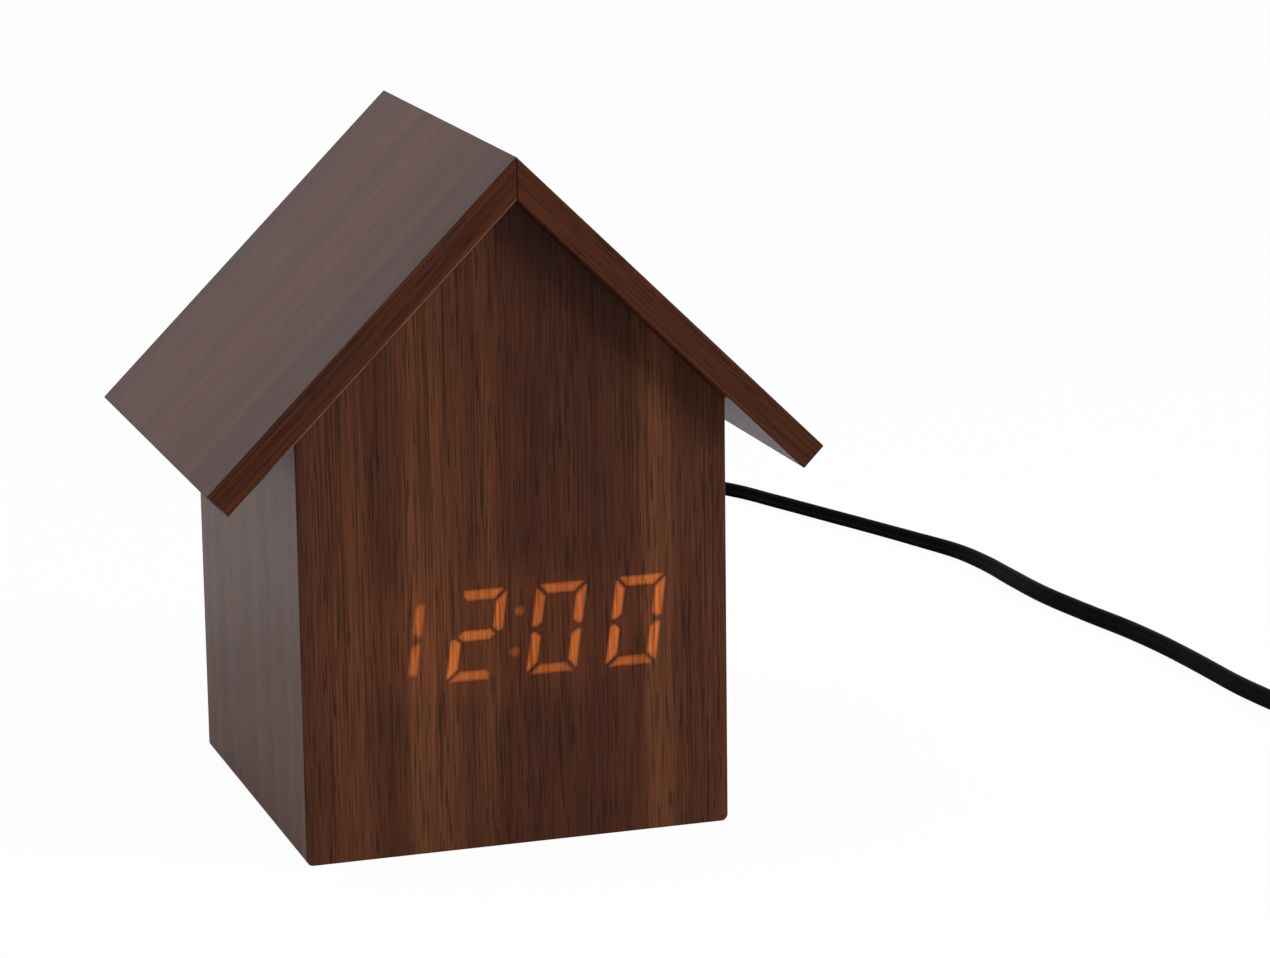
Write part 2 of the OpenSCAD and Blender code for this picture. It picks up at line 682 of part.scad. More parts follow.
module battery_contacts() {
    contact_w = cell_d - 2;
    leaf_t = 0.4;
    room = spring_l + cell_l + cell_knob_l;
    color(nickel) for (i = [0 : cells - 1]) turned(i) {
        translate([room, -contact_w / 2, -contact_w / 2]) cube([contact_t, contact_w, contact_w]);
        translate([0, -contact_w / 2, -contact_w / 2]) cube([contact_t, contact_w, contact_w]);
        translate([0, 0, -contact_w / 4]) linear_extrude(contact_w / 2) polygon([
            [contact_t, -contact_w / 2], [spring_l, 0], [contact_t, contact_w / 2],
            [contact_t, contact_w / 2 - 2 * leaf_t], [spring_l - leaf_t, 0],
            [contact_t, 2 * leaf_t - contact_w / 2]
        ]);
    }
}

module main_pcb() {
    edge = room_gap;
    color(board_green) difference() {
        along_y(pcb_in, pcb_out) rectangle(-open_x + edge, open_z0 + edge, open_x - edge, open_z1 - edge);
        for (p = post_places) rod(p.x, p.y, pcb_in - cut, pcb_out + cut, screw_d + 2 * fit_gap);
    }
}

module pcb_screws() {
    color(steel) for (p = post_places) screw(p.x, p.y, pcb_in, 1);
}

// Parts on the inner face of the main circuit board, as distances from its middle
chip_z = (open_z0 + open_z1) / 2;
chip_x = -16;
crystal_z = chip_z - 14;
capacitor_x = [12, 19];
capacitor_z = chip_z - 8;
capacitor_d = 5;
capacitor_h = 8;

module microcontroller() {
    body = [12, 9, 2];
    pins = 8;
    pin_pitch = 1.27;
    pin = [0.5, 1.4, 0.4];
    color(black_abs) block(chip_x, chip_z, pcb_in - body.z, pcb_in, body.x, body.y);
    color(nickel) for (s = [-1, 1]) for (i = [0 : pins - 1])
        block(chip_x + (i - (pins - 1) / 2) * pin_pitch, chip_z + s * (body.y + pin.y) / 2,
            pcb_in - pin.z, pcb_in, pin.x, pin.y);
}

module crystal() {
    w = 6;
    can_d = 4;
    can_h = 3.4;
    color(nickel) {
        block(chip_x, crystal_z, pcb_in - can_h, pcb_in, w, can_d);
        for (s = [-1, 1]) rod(chip_x + s * w / 2, crystal_z, pcb_in - can_h, pcb_in, can_d);
    }
}

module capacitors() {
    color("#26364f") for (x = capacitor_x) rod(x, capacitor_z, pcb_in - capacitor_h, pcb_in, capacitor_d);
}

module buzzer() {
    mouth_d = 2;
    mouth_depth = 1.5;
    color(black_abs) difference() {
        rod(column_x, buzzer_z, pcb_out, pcb_out + buzzer_h, buzzer_d);
        rod(column_x, buzzer_z, pcb_out + buzzer_h - mouth_depth, pcb_out + buzzer_h + cut, mouth_d);
    }
}

socket_l = 5;
socket_h = 4;
socket_side = 1.5;  // from the ribbon's edge to its socket's end
socket_w = ribbon_w + 2 * socket_side;
ribbon_y0 = display_pcb_back + socket_l;
ribbon_y1 = pcb_in - socket_l;
ribbon_rise = 12;   // from the main board's middle to its socket
ribbon_z1 = chip_z + ribbon_rise;

module ribbon_sockets() {
    color("#e4e0d4") {
        block(0, display_z, display_pcb_back, ribbon_y0, socket_w, socket_h);
        block(0, ribbon_z1, ribbon_y1, pcb_in, socket_w, socket_h);
    }
}

// The ribbon leaves each socket level and sags between them
module ribbon_cable() {
    steps = 24;
    points = [for (i = [0 : steps]) let (u = i / steps) [
        ribbon_y0 + (ribbon_y1 - ribbon_y0) * u,
        display_z + (ribbon_z1 - display_z) * (1 - cos(180 * u)) / 2 - ribbon_sag * (1 - cos(360 * u)) / 2
    ]];
    ways = [for (i = [0 : steps]) i == 0 || i == steps ? [1, 0] : unit(points[i + 1] - points[i - 1])];
    normals = [for (d = ways) [-d.y, d.x] * ribbon_t / 2];
    color("#8d9094") translate([-ribbon_w / 2, 0, 0]) rotate([90, 0, 90]) linear_extrude(ribbon_w)
        polygon(concat([for (i = [0 : steps]) points[i] + normals[i]],
            [for (i = [steps : -1 : 0]) points[i] - normals[i]]));
}

module power_jack() {
    color(black_abs) difference() {
        block(column_x, jack_z, pcb_out, jack_face, jack_w, jack_w);
        rod(column_x, jack_z, jack_floor, jack_face + cut, jack_bore);
    }
}

module jack_pin() {
    color(nickel) rod(column_x, jack_z, jack_floor, jack_face - 2, jack_pin_d);
}

// Power lead

module plug_barrel() {
    color(nickel) difference() {
        rod(column_x, jack_z, barrel_end, grip_y0, barrel_d);
        rod(column_x, jack_z, barrel_end - cut, grip_y0 + cut, barrel_bore);
    }
}

module plug_grip() {
    collars = 3;
    color(lead_black) translate([column_x, grip_y0, jack_z]) rotate([-90, 0, 0]) {
        cylinder(d = grip_d, h = grip_l);
        translate([0, 0, grip_l]) cylinder(d1 = relief_d[0], d2 = relief_d[1], h = relief_l);
        for (i = [1 : collars]) translate([0, 0, grip_l + i * relief_l / (collars + 1)])
            cylinder(d = relief_d[0], h = relief_l / 9);
    }
}

module power_cord() { color(lead_black) tube(cord_rings); }

module power_cord_coil() {
    echo(least_gap_of_the_coil_to_itself = coil_gap);
    echo(length_of_the_lead = path_length(cord_path) + path_length(coil_path));
    color(lead_black) tube(coil_rings);
}

module coil_ties() {
    inner = coil_inner_r - cord_t / 2 - tie_gap;
    outer = coil_r + cord_t / 2 + tie_gap;
    top = coil_z + layer_h + cord_w / 2 + tie_seat;
    color("#2b2b2b") for (a = [90, 270]) translate([coil_center.x, coil_center.y, 0]) rotate(a) difference() {
        translate([inner - tie_t, -tie_w / 2, 0]) cube([outer - inner + 2 * tie_t, tie_w, top + tie_t]);
        translate([inner, -tie_w / 2 - cut, tie_t]) cube([outer - inner, tie_w + 2 * cut, top - tie_t]);
    }
}

module usb_grip() {
    r = 2.5;
    color(lead_black) translate([usb_x, 0, usb_z]) along_y(usb_y, usb_y + usb_grip_l) {
        square([usb_grip_w, usb_grip_t - 2 * r], center = true);
        square([usb_grip_w - 2 * r, usb_grip_t], center = true);
        for (sx = [-1, 1]) for (sz = [-1, 1])
            translate([sx * (usb_grip_w / 2 - r), sz * (usb_grip_t / 2 - r)]) circle(r);
    }
}

module usb_shell() {
    y0 = usb_y + usb_grip_l;
    color(nickel) difference() {
        block(usb_x, usb_z, y0, y0 + shell_size.y, shell_size.x, shell_size.z);
        block(usb_x, usb_z, y0 - cut, y0 + shell_size.y + cut,
            shell_size.x - 2 * shell_wall, shell_size.z - 2 * shell_wall);
    }
}

module usb_tongue() {
    y0 = usb_y + usb_grip_l;
    inside = shell_size.z / 2 - shell_wall;
    color("#f0f0ec") along_y(y0, y0 + shell_size.y - 1) rectangle(
        usb_x - shell_size.x / 2 + shell_wall, usb_z + inside - tongue_t,
        usb_x + shell_size.x / 2 - shell_wall, usb_z + inside);
}

roof_left();
roof_right();
wall_left();
wall_right();
floor_board();
front_board();
front_veneer();
rear_board();
display_mask();
segment_spreaders();
segment_chips();
display_pcb();
display_driver();
display_screws();
control_plate();
plate_screws();
main_pcb();
pcb_screws();
set_button();
up_button();
down_button();
set_plunger();
up_plunger();
down_plunger();
button_switches();
alarm_switch();
alarm_knob();
battery_door();
battery_tray();
battery_cells();
battery_contacts();
microcontroller();
crystal();
capacitors();
buzzer();
ribbon_sockets();
ribbon_cable();
power_jack();
jack_pin();
plug_barrel();
plug_grip();
power_cord();
power_cord_coil();
coil_ties();
usb_grip();
usb_shell();
usb_tongue();
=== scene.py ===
"""House-shaped alarm clock in walnut veneer, whose amber digits shine through the plain front."""
import json
import math
import bmesh
import bpy
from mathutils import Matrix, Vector
from mathutils.geometry import delaunay_2d_cdt

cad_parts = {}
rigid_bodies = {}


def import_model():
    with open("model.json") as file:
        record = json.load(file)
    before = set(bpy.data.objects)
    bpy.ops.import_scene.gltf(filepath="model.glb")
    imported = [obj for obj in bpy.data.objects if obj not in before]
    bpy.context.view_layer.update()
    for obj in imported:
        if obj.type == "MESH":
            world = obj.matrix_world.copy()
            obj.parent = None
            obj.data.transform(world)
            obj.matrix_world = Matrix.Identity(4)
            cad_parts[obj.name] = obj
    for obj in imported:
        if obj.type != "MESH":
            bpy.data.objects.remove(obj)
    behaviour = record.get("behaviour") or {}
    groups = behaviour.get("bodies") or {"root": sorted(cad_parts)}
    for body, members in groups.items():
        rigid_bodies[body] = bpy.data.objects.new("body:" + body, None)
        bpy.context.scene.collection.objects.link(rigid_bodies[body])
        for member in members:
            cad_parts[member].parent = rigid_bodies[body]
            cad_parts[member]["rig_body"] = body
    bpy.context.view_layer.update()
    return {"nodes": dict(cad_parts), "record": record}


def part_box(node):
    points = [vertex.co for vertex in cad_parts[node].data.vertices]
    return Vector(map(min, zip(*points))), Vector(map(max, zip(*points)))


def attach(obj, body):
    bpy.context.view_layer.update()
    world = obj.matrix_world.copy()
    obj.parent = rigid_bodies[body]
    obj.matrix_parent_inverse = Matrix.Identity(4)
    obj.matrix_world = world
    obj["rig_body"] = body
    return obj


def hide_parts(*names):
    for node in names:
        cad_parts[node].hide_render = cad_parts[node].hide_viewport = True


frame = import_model()
slots = {part["node"]: part["material_slot"] for part in frame["record"]["subparts"]}
mm = 0.001  # a millimetre in the frame's metres


def placed(name, data):
    """A new object in the scene that holds the given data."""
    made = bpy.data.objects.new(name, data)
    bpy.context.scene.collection.objects.link(made)
    return made


# Camera: a long lens about a metre away, to the left of the front and above the ridge

lens = bpy.data.cameras.new("photo_lens")
lens.lens = 122.94
lens.sensor_width = 36
lens.clip_end = 20
camera = placed("photo_camera", lens)
camera.location = (-0.26465, -0.95624, 0.305)
camera.rotation_euler = [math.radians(a) for a in (76.8703, 0.6778, -18.078)]
bpy.context.scene.camera = camera
bpy.context.scene.view_settings.view_transform = "Standard"


# Tools for meshes, with points in millimetres

weld = 0.0001 * mm  # points of a made mesh that are closer than this are one
seam = 0.001 * mm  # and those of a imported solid
flat_turn = math.radians(1)  # faces that turn by less than this are one
sharp_turn = math.radians(30)  # edges that turn by more than this get a round


def middle_of(node):
    """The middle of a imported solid's box, in millimetres."""
    low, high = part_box(node)
    return (low + high) / (2 * mm)


def piece(name, mesh, body, slot, replaced=(), finish=None, crease=25):
    """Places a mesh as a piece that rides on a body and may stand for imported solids.

    It has its slot's finish unless another is given. Edges that turn by more than the crease, in degrees,
    stay sharp.
    """
    mesh.name = name
    mesh.materials.append(finish or finishes[slot])
    if mesh.has_custom_normals:
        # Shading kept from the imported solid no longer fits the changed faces
        mesh.attributes.remove(mesh.attributes["custom_normal"])
    mesh.set_sharp_from_angle(angle=math.radians(crease))
    made = placed(name, mesh)
    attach(made, body)
    if replaced:
        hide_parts(*replaced)
    return made


def mesh_from(*skins):
    """A mesh from skins, each of points and their faces, turned outwards."""
    points, faces = [], []
    for skin_points, skin_faces in skins:
        first = len(points)
        points += [Vector(p) * mm for p in skin_points]
        faces += [[first + i for i in face] for face in skin_faces]
    mesh = bpy.data.meshes.new("skins")
    mesh.from_pydata(points, [], faces)
    shape = bmesh.new()
    shape.from_mesh(mesh)
    bmesh.ops.remove_doubles(shape, verts=shape.verts, dist=weld)
    bmesh.ops.recalc_face_normals(shape, faces=shape.faces)
    shape.to_mesh(mesh)
    shape.free()
    return mesh


def skin(rings, closed=False):
    """A skin over rings of points, with flat ends unless the last ring joins the first."""
    count = len(rings[0])
    points = [p for ring in rings for p in ring]
    pairs = [(k, (k + 1) % len(rings)) for k in range(len(rings) if closed else len(rings) - 1)]
    faces = [
        (k * count + i, k * count + (i + 1) % count, n * count + (i + 1) % count, n * count + i)
        for k, n in pairs for i in range(count)
    ]
    if not closed:
        faces.append(tuple(range(count)))
        faces.append(tuple(range((len(rings) - 1) * count, len(rings) * count)))
    return points, faces


def prism(outline, y0, y1):
    """A skin over an outline in x and z that runs from one y to another."""
    return skin([[(x, y, z) for x, z in outline] for y in (y0, y1)])


def turned(profile, x, z, steps=48):
    """A skin turned about a line along y, from radii and their places along y.

    A radius is a length, or a function that gives one for an angle.
    """
    angles = [math.tau * i / steps for i in range(steps)]
    rings = []
    for radius, y in profile:
        reaches = [radius(a) if callable(radius) else radius for a in angles]
        rings.append([(x + r * math.cos(a), y, z + r * math.sin(a)) for a, r in zip(angles, reaches)])
    return skin(rings)


def rounded(x, z, width, height, r, steps=5):
    """A rectangle in x and z with rounded corners."""
    corners = [(1, 1, 0), (-1, 1, 90), (-1, -1, 180), (1, -1, 270)]
    return [
        (x + sx * (width / 2 - r) + r * math.cos(a), z + sz * (height / 2 - r) + r * math.sin(a))
        for sx, sz, start in corners
        for a in (math.radians(start + 90 * i / steps) for i in range(steps + 1))
    ]


def eased(node, width, shortest=0.0, finish=None):
    """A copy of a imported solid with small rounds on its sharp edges, from the shortest length up."""
    solid = frame["nodes"][node]
    shape = bmesh.new()
    shape.from_mesh(solid.data)
    bmesh.ops.remove_doubles(shape, verts=shape.verts, dist=seam)
    bmesh.ops.dissolve_limit(shape, angle_limit=flat_turn, verts=shape.verts, edges=shape.edges)
    sharp = [
        e for e in shape.edges
        if e.is_manifold and e.calc_face_angle() > sharp_turn and e.calc_length() >= shortest * mm
    ]
    bmesh.ops.bevel(
        shape, geom=sharp, offset=width * mm, segments=2, profile=0.5, affect="EDGES", clamp_overlap=True)
    bmesh.ops.dissolve_degenerate(shape, dist=seam, edges=shape.edges)
    mesh = bpy.data.meshes.new("eased")
    shape.to_mesh(mesh)
    shape.free()
    return piece(node + "_eased", mesh, solid["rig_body"], slots[node], [node], finish, crease=10)


# Tools for materials

noise_span = {"From Min": 0.3, "From Max": 0.7}  # nearly all of a noise's values lie here


def linear(colour):
    """Blender's linear colour for an sRGB hex value."""
    shares = [int(colour[i:i + 2], 16) / 255 for i in (1, 3, 5)]
    return (*(c / 12.92 if c <= 0.04045 else ((c + 0.055) / 1.055) ** 2.4 for c in shares), 1)


def add(tree, kind, inputs=None, **settings):
    """Adds a node with its settings, and with its inputs as values or as what feeds them."""
    made = tree.nodes.new("ShaderNode" + kind)
    for name, value in settings.items():
        setattr(made, name, value)
    for name, value in (inputs or {}).items():
        socket = next(s for i, s in enumerate(made.inputs) if s.enabled and name in (i, s.name))
        if isinstance(value, bpy.types.Node):
            value = next(s for s in value.outputs if s.enabled)
        if isinstance(value, bpy.types.NodeSocket):
            tree.links.new(value, socket)
        else:
            socket.default_value = value
    return made


def set_stops(ramp, change, stops):
    """Gives a colour ramp its stops, each a place from 0 to 1 and a colour, and the change between them."""
    ramp.interpolation = change
    ramp.elements.remove(ramp.elements[0])
    for i, (place, colour) in enumerate(stops):
        stop = ramp.elements.new(place) if i else ramp.elements[0]
        stop.position = place
        stop.color = colour


def bare_finish(name):
    """A material with no nodes yet, and its node tree."""
    made = bpy.data.materials.new(name)
    made.use_nodes = True
    made.node_tree.nodes.clear()
    return made, made.node_tree


# Walnut

body_w = 100.0
display_z = 50.0  # height of the digits' middle
pitch = math.radians(44.6)


def streaks(tree, where, across, along, detail):
    """Noise drawn out along the grain, by its width and length in millimetres."""
    stretch = (1 / (across * mm), 1 / (across * mm), 1 / (along * mm))
    drawn = add(tree, "VectorMath", {0: where, 1: stretch}, operation="MULTIPLY")
    return add(tree, "TexNoise", {"Vector": drawn, "Scale": 1.0, "Detail": detail, "Roughness": 0.55})


def band_tones(tree, grain, bands):
    """The tones of bands across the front, each from its place in millimetres off the middle."""
    share = add(tree, "MapRange", {
        "Value": add(tree, "SeparateXYZ", {"Vector": grain}).outputs["X"],
        "From Min": -body_w / 2 * mm, "From Max": body_w / 2 * mm})
    tones = add(tree, "ValToRGB", {"Fac": share})
    set_stops(tones.color_ramp, "EASE", [(0.5 + x / body_w, (tone, tone, tone, 1)) for x, tone in bands])
    return tones.outputs["Color"]


def painted_foot_light_top_shade(tree, grain, value):
    """A little painted light at the front's foot, and painted shade towards the gable's top under the roof.
    """
    height = add(tree, "SeparateXYZ", {"Vector": grain}).outputs["Z"]
    for low, high, share, next_share in ((5, 45, 1.09, 1.0), (75, 125, 1.0, 0.86)):
        upward = add(tree, "MapRange", {
            "Value": height, "From Min": low * mm, "From Max": high * mm,
            "To Min": share, "To Max": next_share})
        value = add(tree, "Math", {0: value, 1: upward}, operation="MULTIPLY")
    return value


def open_pores(tree, grain):
    """How open the grain is: long fine lines in some fields of the leaf, and short pores all over it."""
    fields = streaks(tree, grain, 6, 200, 1)
    lines = add(tree, "MapRange", {
        "Value": add(tree, "Math", {0: fields, 1: 0.5, 2: streaks(tree, grain, 0.4, 70, 1)},
                     operation="MULTIPLY_ADD"),
        "From Min": 0.84, "From Max": 0.94})
    pores = add(tree, "MapRange", {
        "Value": streaks(tree, grain, 0.5, 11, 1), "From Min": 0.59, "From Max": 0.67})
    return add(tree, "Math", {
        0: add(tree, "Math", {0: lines, 1: 0.55}, operation="MULTIPLY"),
        1: add(tree, "Math", {0: pores, 1: 0.65}, operation="MULTIPLY")}, operation="MAXIMUM")


def soaked_light(tree, place, height, fibre, value, open_grain):
    """The digits' amber light in the veneer, weaker where the wood is dark or a pore crosses."""
    glow = add(tree, "MapRange", {
        "Value": add(tree, "Attribute", attribute_name="glow").outputs["Fac"],
        "From Min": add(tree, "Math", {0: fibre, 1: 0.7, 2: -0.12}, operation="MULTIPLY_ADD"),
        "From Max": 0.95}, interpolation_type="SMOOTHSTEP")
    # A faint part of it spreads in the wood all round the digits
    spread_x, spread_w, spread_h = -5, 50, 20
    aside = add(tree, "VectorMath", {0: place, 1: (spread_x * mm, 0, height * mm)}, operation="SUBTRACT")
    shares = add(tree, "VectorMath", {0: aside, 1: (1 / (spread_w * mm), 0, 1 / (spread_h * mm))},
                 operation="MULTIPLY")
    around = add(tree, "TexGradient", {"Vector": shares}, gradient_type="SPHERICAL")
    spread = add(tree, "MapRange", {"Value": around.outputs["Fac"], "From Max": 0.5, "To Max": 0.055},
                 interpolation_type="SMOOTHSTEP")
    through = add(tree, "Math", {
        0: add(tree, "Math", {0: value, 1: 1.1}, operation="POWER"),
        1: add(tree, "Math", {0: open_grain, 1: -0.6, 2: 1.0}, operation="MULTIPLY_ADD")},
        operation="MULTIPLY")
    light = add(tree, "Math", {
        0: add(tree, "Math", {0: glow, 1: spread}, operation="ADD"), 1: through}, operation="MULTIPLY")
    return add(tree, "Mix", {"Factor": 1.0, "A": linear("#a7531c"), "B": light},
               data_type="RGBA", blend_type="MULTIPLY")


def walnut(name, dark, light, ior, lean=0.0, shift=(0.0, 0.0, 0.0), bands=(), lit=0.0):
    """Sliced walnut veneer, sanded and sealed with a thin satin lacquer.

    The eye sees brown bands a few millimetres to centimetres wide along the grain, fibres and short dark
    pores, drawn a little coarser than real so that they show, and a grey veil where the face is seen at a
    low angle, which the lacquer's ior sets. lean turns the grain off upright, shift takes another place in
    the log, bands gives the front's own bands with painted light at its foot and painted shade towards its
    top, and lit is the height of the lights behind the face.
    """
    made, tree = bare_finish(name)
    place = add(tree, "Mapping", {
        "Vector": add(tree, "TexCoord").outputs["Object"], "Rotation": (0, lean, 0), "Location": shift})
    # The grain wanders sideways by less than a millimetre
    noise = streaks(tree, place, 30, 200, 1).outputs["Color"]
    aside = add(tree, "VectorMath", {0: noise, 1: (0.5, 0.5, 0.5)}, operation="SUBTRACT")
    wander = add(tree, "VectorMath", {0: aside, 1: (2.5 * mm, 2.5 * mm, 0)}, operation="MULTIPLY")
    grain = add(tree, "VectorMath", {0: place, 1: wander}, operation="ADD")

    if bands:
        band = band_tones(tree, grain, bands)
    else:
        band = add(tree, "MapRange", {
            "Value": streaks(tree, grain, 13, 600, 1.5), "From Min": 0.32, "From Max": 0.68})
    brown = add(tree, "Mix", {"Factor": band, "A": linear(dark), "B": linear(light)}, data_type="RGBA")
    streak = streaks(tree, grain, 2.5, 200, 3.5)
    fibre = streaks(tree, grain, 0.4, 22, 2)
    value = add(tree, "Math", {
        0: add(tree, "MapRange", {"Value": streak, **noise_span, "To Min": 0.91, "To Max": 1.09}),
        1: add(tree, "MapRange", {"Value": fibre, **noise_span, "To Min": 0.68, "To Max": 1.32})},
        operation="MULTIPLY")
    # On the front: painted light at its foot and painted shade towards the gable's top
    if bands:
        value = painted_foot_light_top_shade(tree, grain, value)
    figured = add(tree, "HueSaturation", {"Color": brown, "Value": value})
    open_grain = open_pores(tree, grain)
    raised = add(tree, "Math", {0: fibre, 1: 0.4}, operation="MULTIPLY")
    relief = add(tree, "Math", {0: raised, 1: open_grain}, operation="SUBTRACT")
    inputs = {
        "Base Color": add(tree, "Mix", {"Factor": open_grain, "A": figured, "B": linear("#1d0f0a")},
                          data_type="RGBA"),
        "Roughness": add(tree, "MapRange", {"Value": fibre, **noise_span, "To Min": 0.36, "To Max": 0.46}),
        "IOR": ior,
        "Normal": add(tree, "Bump", {"Height": relief, "Distance": 0.03 * mm, "Strength": 0.6}),
    }
    if lit:
        inputs["Emission Color"] = soaked_light(tree, place, lit, fibre, value, open_grain)
        inputs["Emission Strength"] = 1.0
    add(tree, "OutputMaterial", {"Surface": add(tree, "BsdfPrincipled", inputs)})
    return made


# Bands across the front: a place in millimetres off the middle, and a tone from dark to light
front_bands = [
    (-50, 0.2), (-44, 0.5), (-36, 0.65), (-32, 0.2), (-28, 0.3), (-24, 0.95), (-19, 0.95), (-11, 0.35),
    (-6.5, 0.7), (-2.5, 0.15), (6, 0.05), (12, 0.2), (18, 0.05), (26, 0.25), (33, 1.0), (36, 0.8),
    (39, 0.3), (50, 0.45),
]
left_lean = pitch - math.pi / 2
right_lean = math.pi / 2 - pitch
front_finish = walnut("walnut_veneer_front", "#3c1f15", "#5a3420", 1.15, bands=front_bands, lit=display_z)
wall_finish = walnut("walnut_veneer_walls", "#482619", "#653a27", 1.28, shift=(0.31, 0.17, 0.4))
rear_finish = walnut("walnut_veneer_rear", "#3f241b", "#5c3624", 1.2, shift=(0.77, 0.53, 0.9))
roof_left_finish = walnut(
    "walnut_veneer_roof_left", "#3d1d14", "#582d1e", 1.22, left_lean, (0.11, 0.23, 0.35))
roof_right_finish = walnut(
    "walnut_veneer_roof_right", "#3d1d14", "#582d1e", 1.22, right_lean, (0.47, 0.61, 0.2))
strip_left_finish = walnut(
    "walnut_edge_strip_left", "#381b10", "#502a18", 1.15, left_lean, (0.71, 0.33, 0.85))
strip_right_finish = walnut(
    "walnut_edge_strip_right", "#361a0f", "#4b2716", 1.15, right_lean, (0.97, 0.11, 0.6))
# A pale line painted on the left strips' lower edge as a highlight where their round catches the light
painted_highlight_edge_finish = walnut("walnut_edge_painted_highlight", "#573b31", "#6a4c40", 1.15, left_lean, (0.53, 0.29, 0.1))


# Lead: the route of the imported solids, as x, y and the height of its underside in millimetres, and its
# roll in degrees

lead_w = 5.0
lead_t = 3.0
lead_route = [
    (25.25, 85, 32.5, 0), (25.25, 97, 32.1, 0), (25, 110, 29.5, 0), (25, 123, 24, 0), (25, 136, 16.5, 0),
    (25, 149, 9, 0), (25, 162, 3.5, 0), (25, 176, 0.6, 10), (25, 192, 0, 20), (25, 210, 0, 30),
    (27, 232, 0, 40), (34, 256, 0, 45), (51, 278, 0, 45), (74, 292, 0, 45), (98, 295, 0, 45),
    (121, 290, 0, 45), (141, 277, 0, 45), (157, 255.5, 0, 50), (165.5, 235, 0, 50), (173, 215, 0, 50),
    (180.5, 195, 0, 50), (187.5, 175, 0, 55), (192.5, 159, 0, 65), (194.5, 143, 0, 80), (195, 125, 0, 90),
    (196, 105, 0, 90), (199, 84, 0, 90), (202.5, 64, 0, 90), (204.5, 46, 0, 90), (205.5, 26, 0, 90),
    (206, 6, 0, 90), (207, -10, 0.3, 90), (208, -23, 0.8, 90), (208, -35, 1, 90),
]
coil_middle = (241, -40)
coil_r = 33.0
coil_turns = 4.5
coil_pitch = 3.6  # from one turn to the next
coil_lift = 3.5  # height of the lower layer's middle
layer_rise = 5.6  # from the lower layer to the upper one
tail = [(10, 9.1), (20, 7.57), (30, 5.02), (38, 4), (45, 4)]  # y past the coil's middle, and height


def between(points, steps):
    """Points on a smooth curve through the given ones."""
    found = []
    for k in range(len(points) - 1):
        a, b, c, d = (Vector(points[min(max(k + i, 0), len(points) - 1)]) for i in (-1, 0, 1, 2))
        for u in (j / steps for j in range(steps)):
            found.append((2 * b + (c - a) * u + (2 * a - 5 * b + 4 * c - d) * u ** 2
                          + (3 * b - a - 3 * c + d) * u ** 3) / 2)
    return found + [Vector(points[-1])]


def lead_path():
    """Middles of the lead with their roll: along the table, round the coil and out to the supply plug."""
    path = []
    for x, y, lift, roll in between(lead_route, 6):
        half = lead_t / 2 + (lead_w - lead_t) / 2 * abs(math.sin(math.radians(roll)))
        path.append((Vector((x, y, lift + half)), roll))
    loop_steps = 48
    half_way = coil_turns * 180
    for i in range(int(coil_turns * loop_steps) + 1):
        a = 360 * i / loop_steps
        r = coil_r + coil_pitch * (abs(a - half_way) - half_way) / 360
        x = coil_middle[0] - r * math.cos(math.radians(a))
        y = coil_middle[1] - r * math.sin(math.radians(a))
        # The lead climbs to the upper layer in the half turn where the spiral reverses
        z = coil_lift + layer_rise * min(max((a - half_way + 90) / 180, 0), 1)
        path.append((Vector((x, y, z)), 90))
    end = path[-1][0]
    out = [(end.x, end.y, end.z, 0), *((end.x, coil_middle[1] + y, z, 0) for y, z in tail)]
    path += [(p.to_3d(), 90) for p in between(out, 4)[1:]]
    return path


def twin_lead():
    """Two round cores side by side in one black sheath, swept along the route with its roll."""
    core_r = lead_t / 2
    core_x = (lead_w - lead_t) / 2
    core_steps = 5
    waist = math.acos(-core_x / core_r)  # where one core's round meets the other's
    angles = [waist * (i / core_steps - 1) for i in range(2 * core_steps)]
    section = [
        (s * (core_x + core_r * math.cos(a)), s * core_r * math.sin(a)) for s in (1, -1) for a in angles]
    path = lead_path()
    rings = []
    for i, (middle, roll) in enumerate(path):
        ahead = (path[min(i + 1, len(path) - 1)][0] - path[max(i - 1, 0)][0]).normalized()
        side = ahead.cross(Vector((0, 0, 1))).normalized()
        up = side.cross(ahead)
        c, s = math.cos(math.radians(roll)), math.sin(math.radians(roll))
        rings.append([middle + side * (x * c - y * s) + up * (x * s + y * c) for x, y in section])
    made = piece("twin_lead", mesh_from(skin(rings)), "case", "lead_pvc", ["power_cord", "power_cord_coil"],
                 crease=60)
    return made, [middle * mm for middle, _ in path]


# Floor, light and background

def seen(tree):
    """1 for what the eye sees directly, mirrored or through something, and 0 for light on other things."""
    path = add(tree, "LightPath")
    mirrored = add(tree, "Math", {0: path.outputs["Is Camera Ray"], 1: path.outputs["Is Glossy Ray"]},
                   operation="ADD", use_clamp=True)
    return add(tree, "Math", {0: mirrored, 1: path.outputs["Is Transmission Ray"]},
               operation="ADD", use_clamp=True)


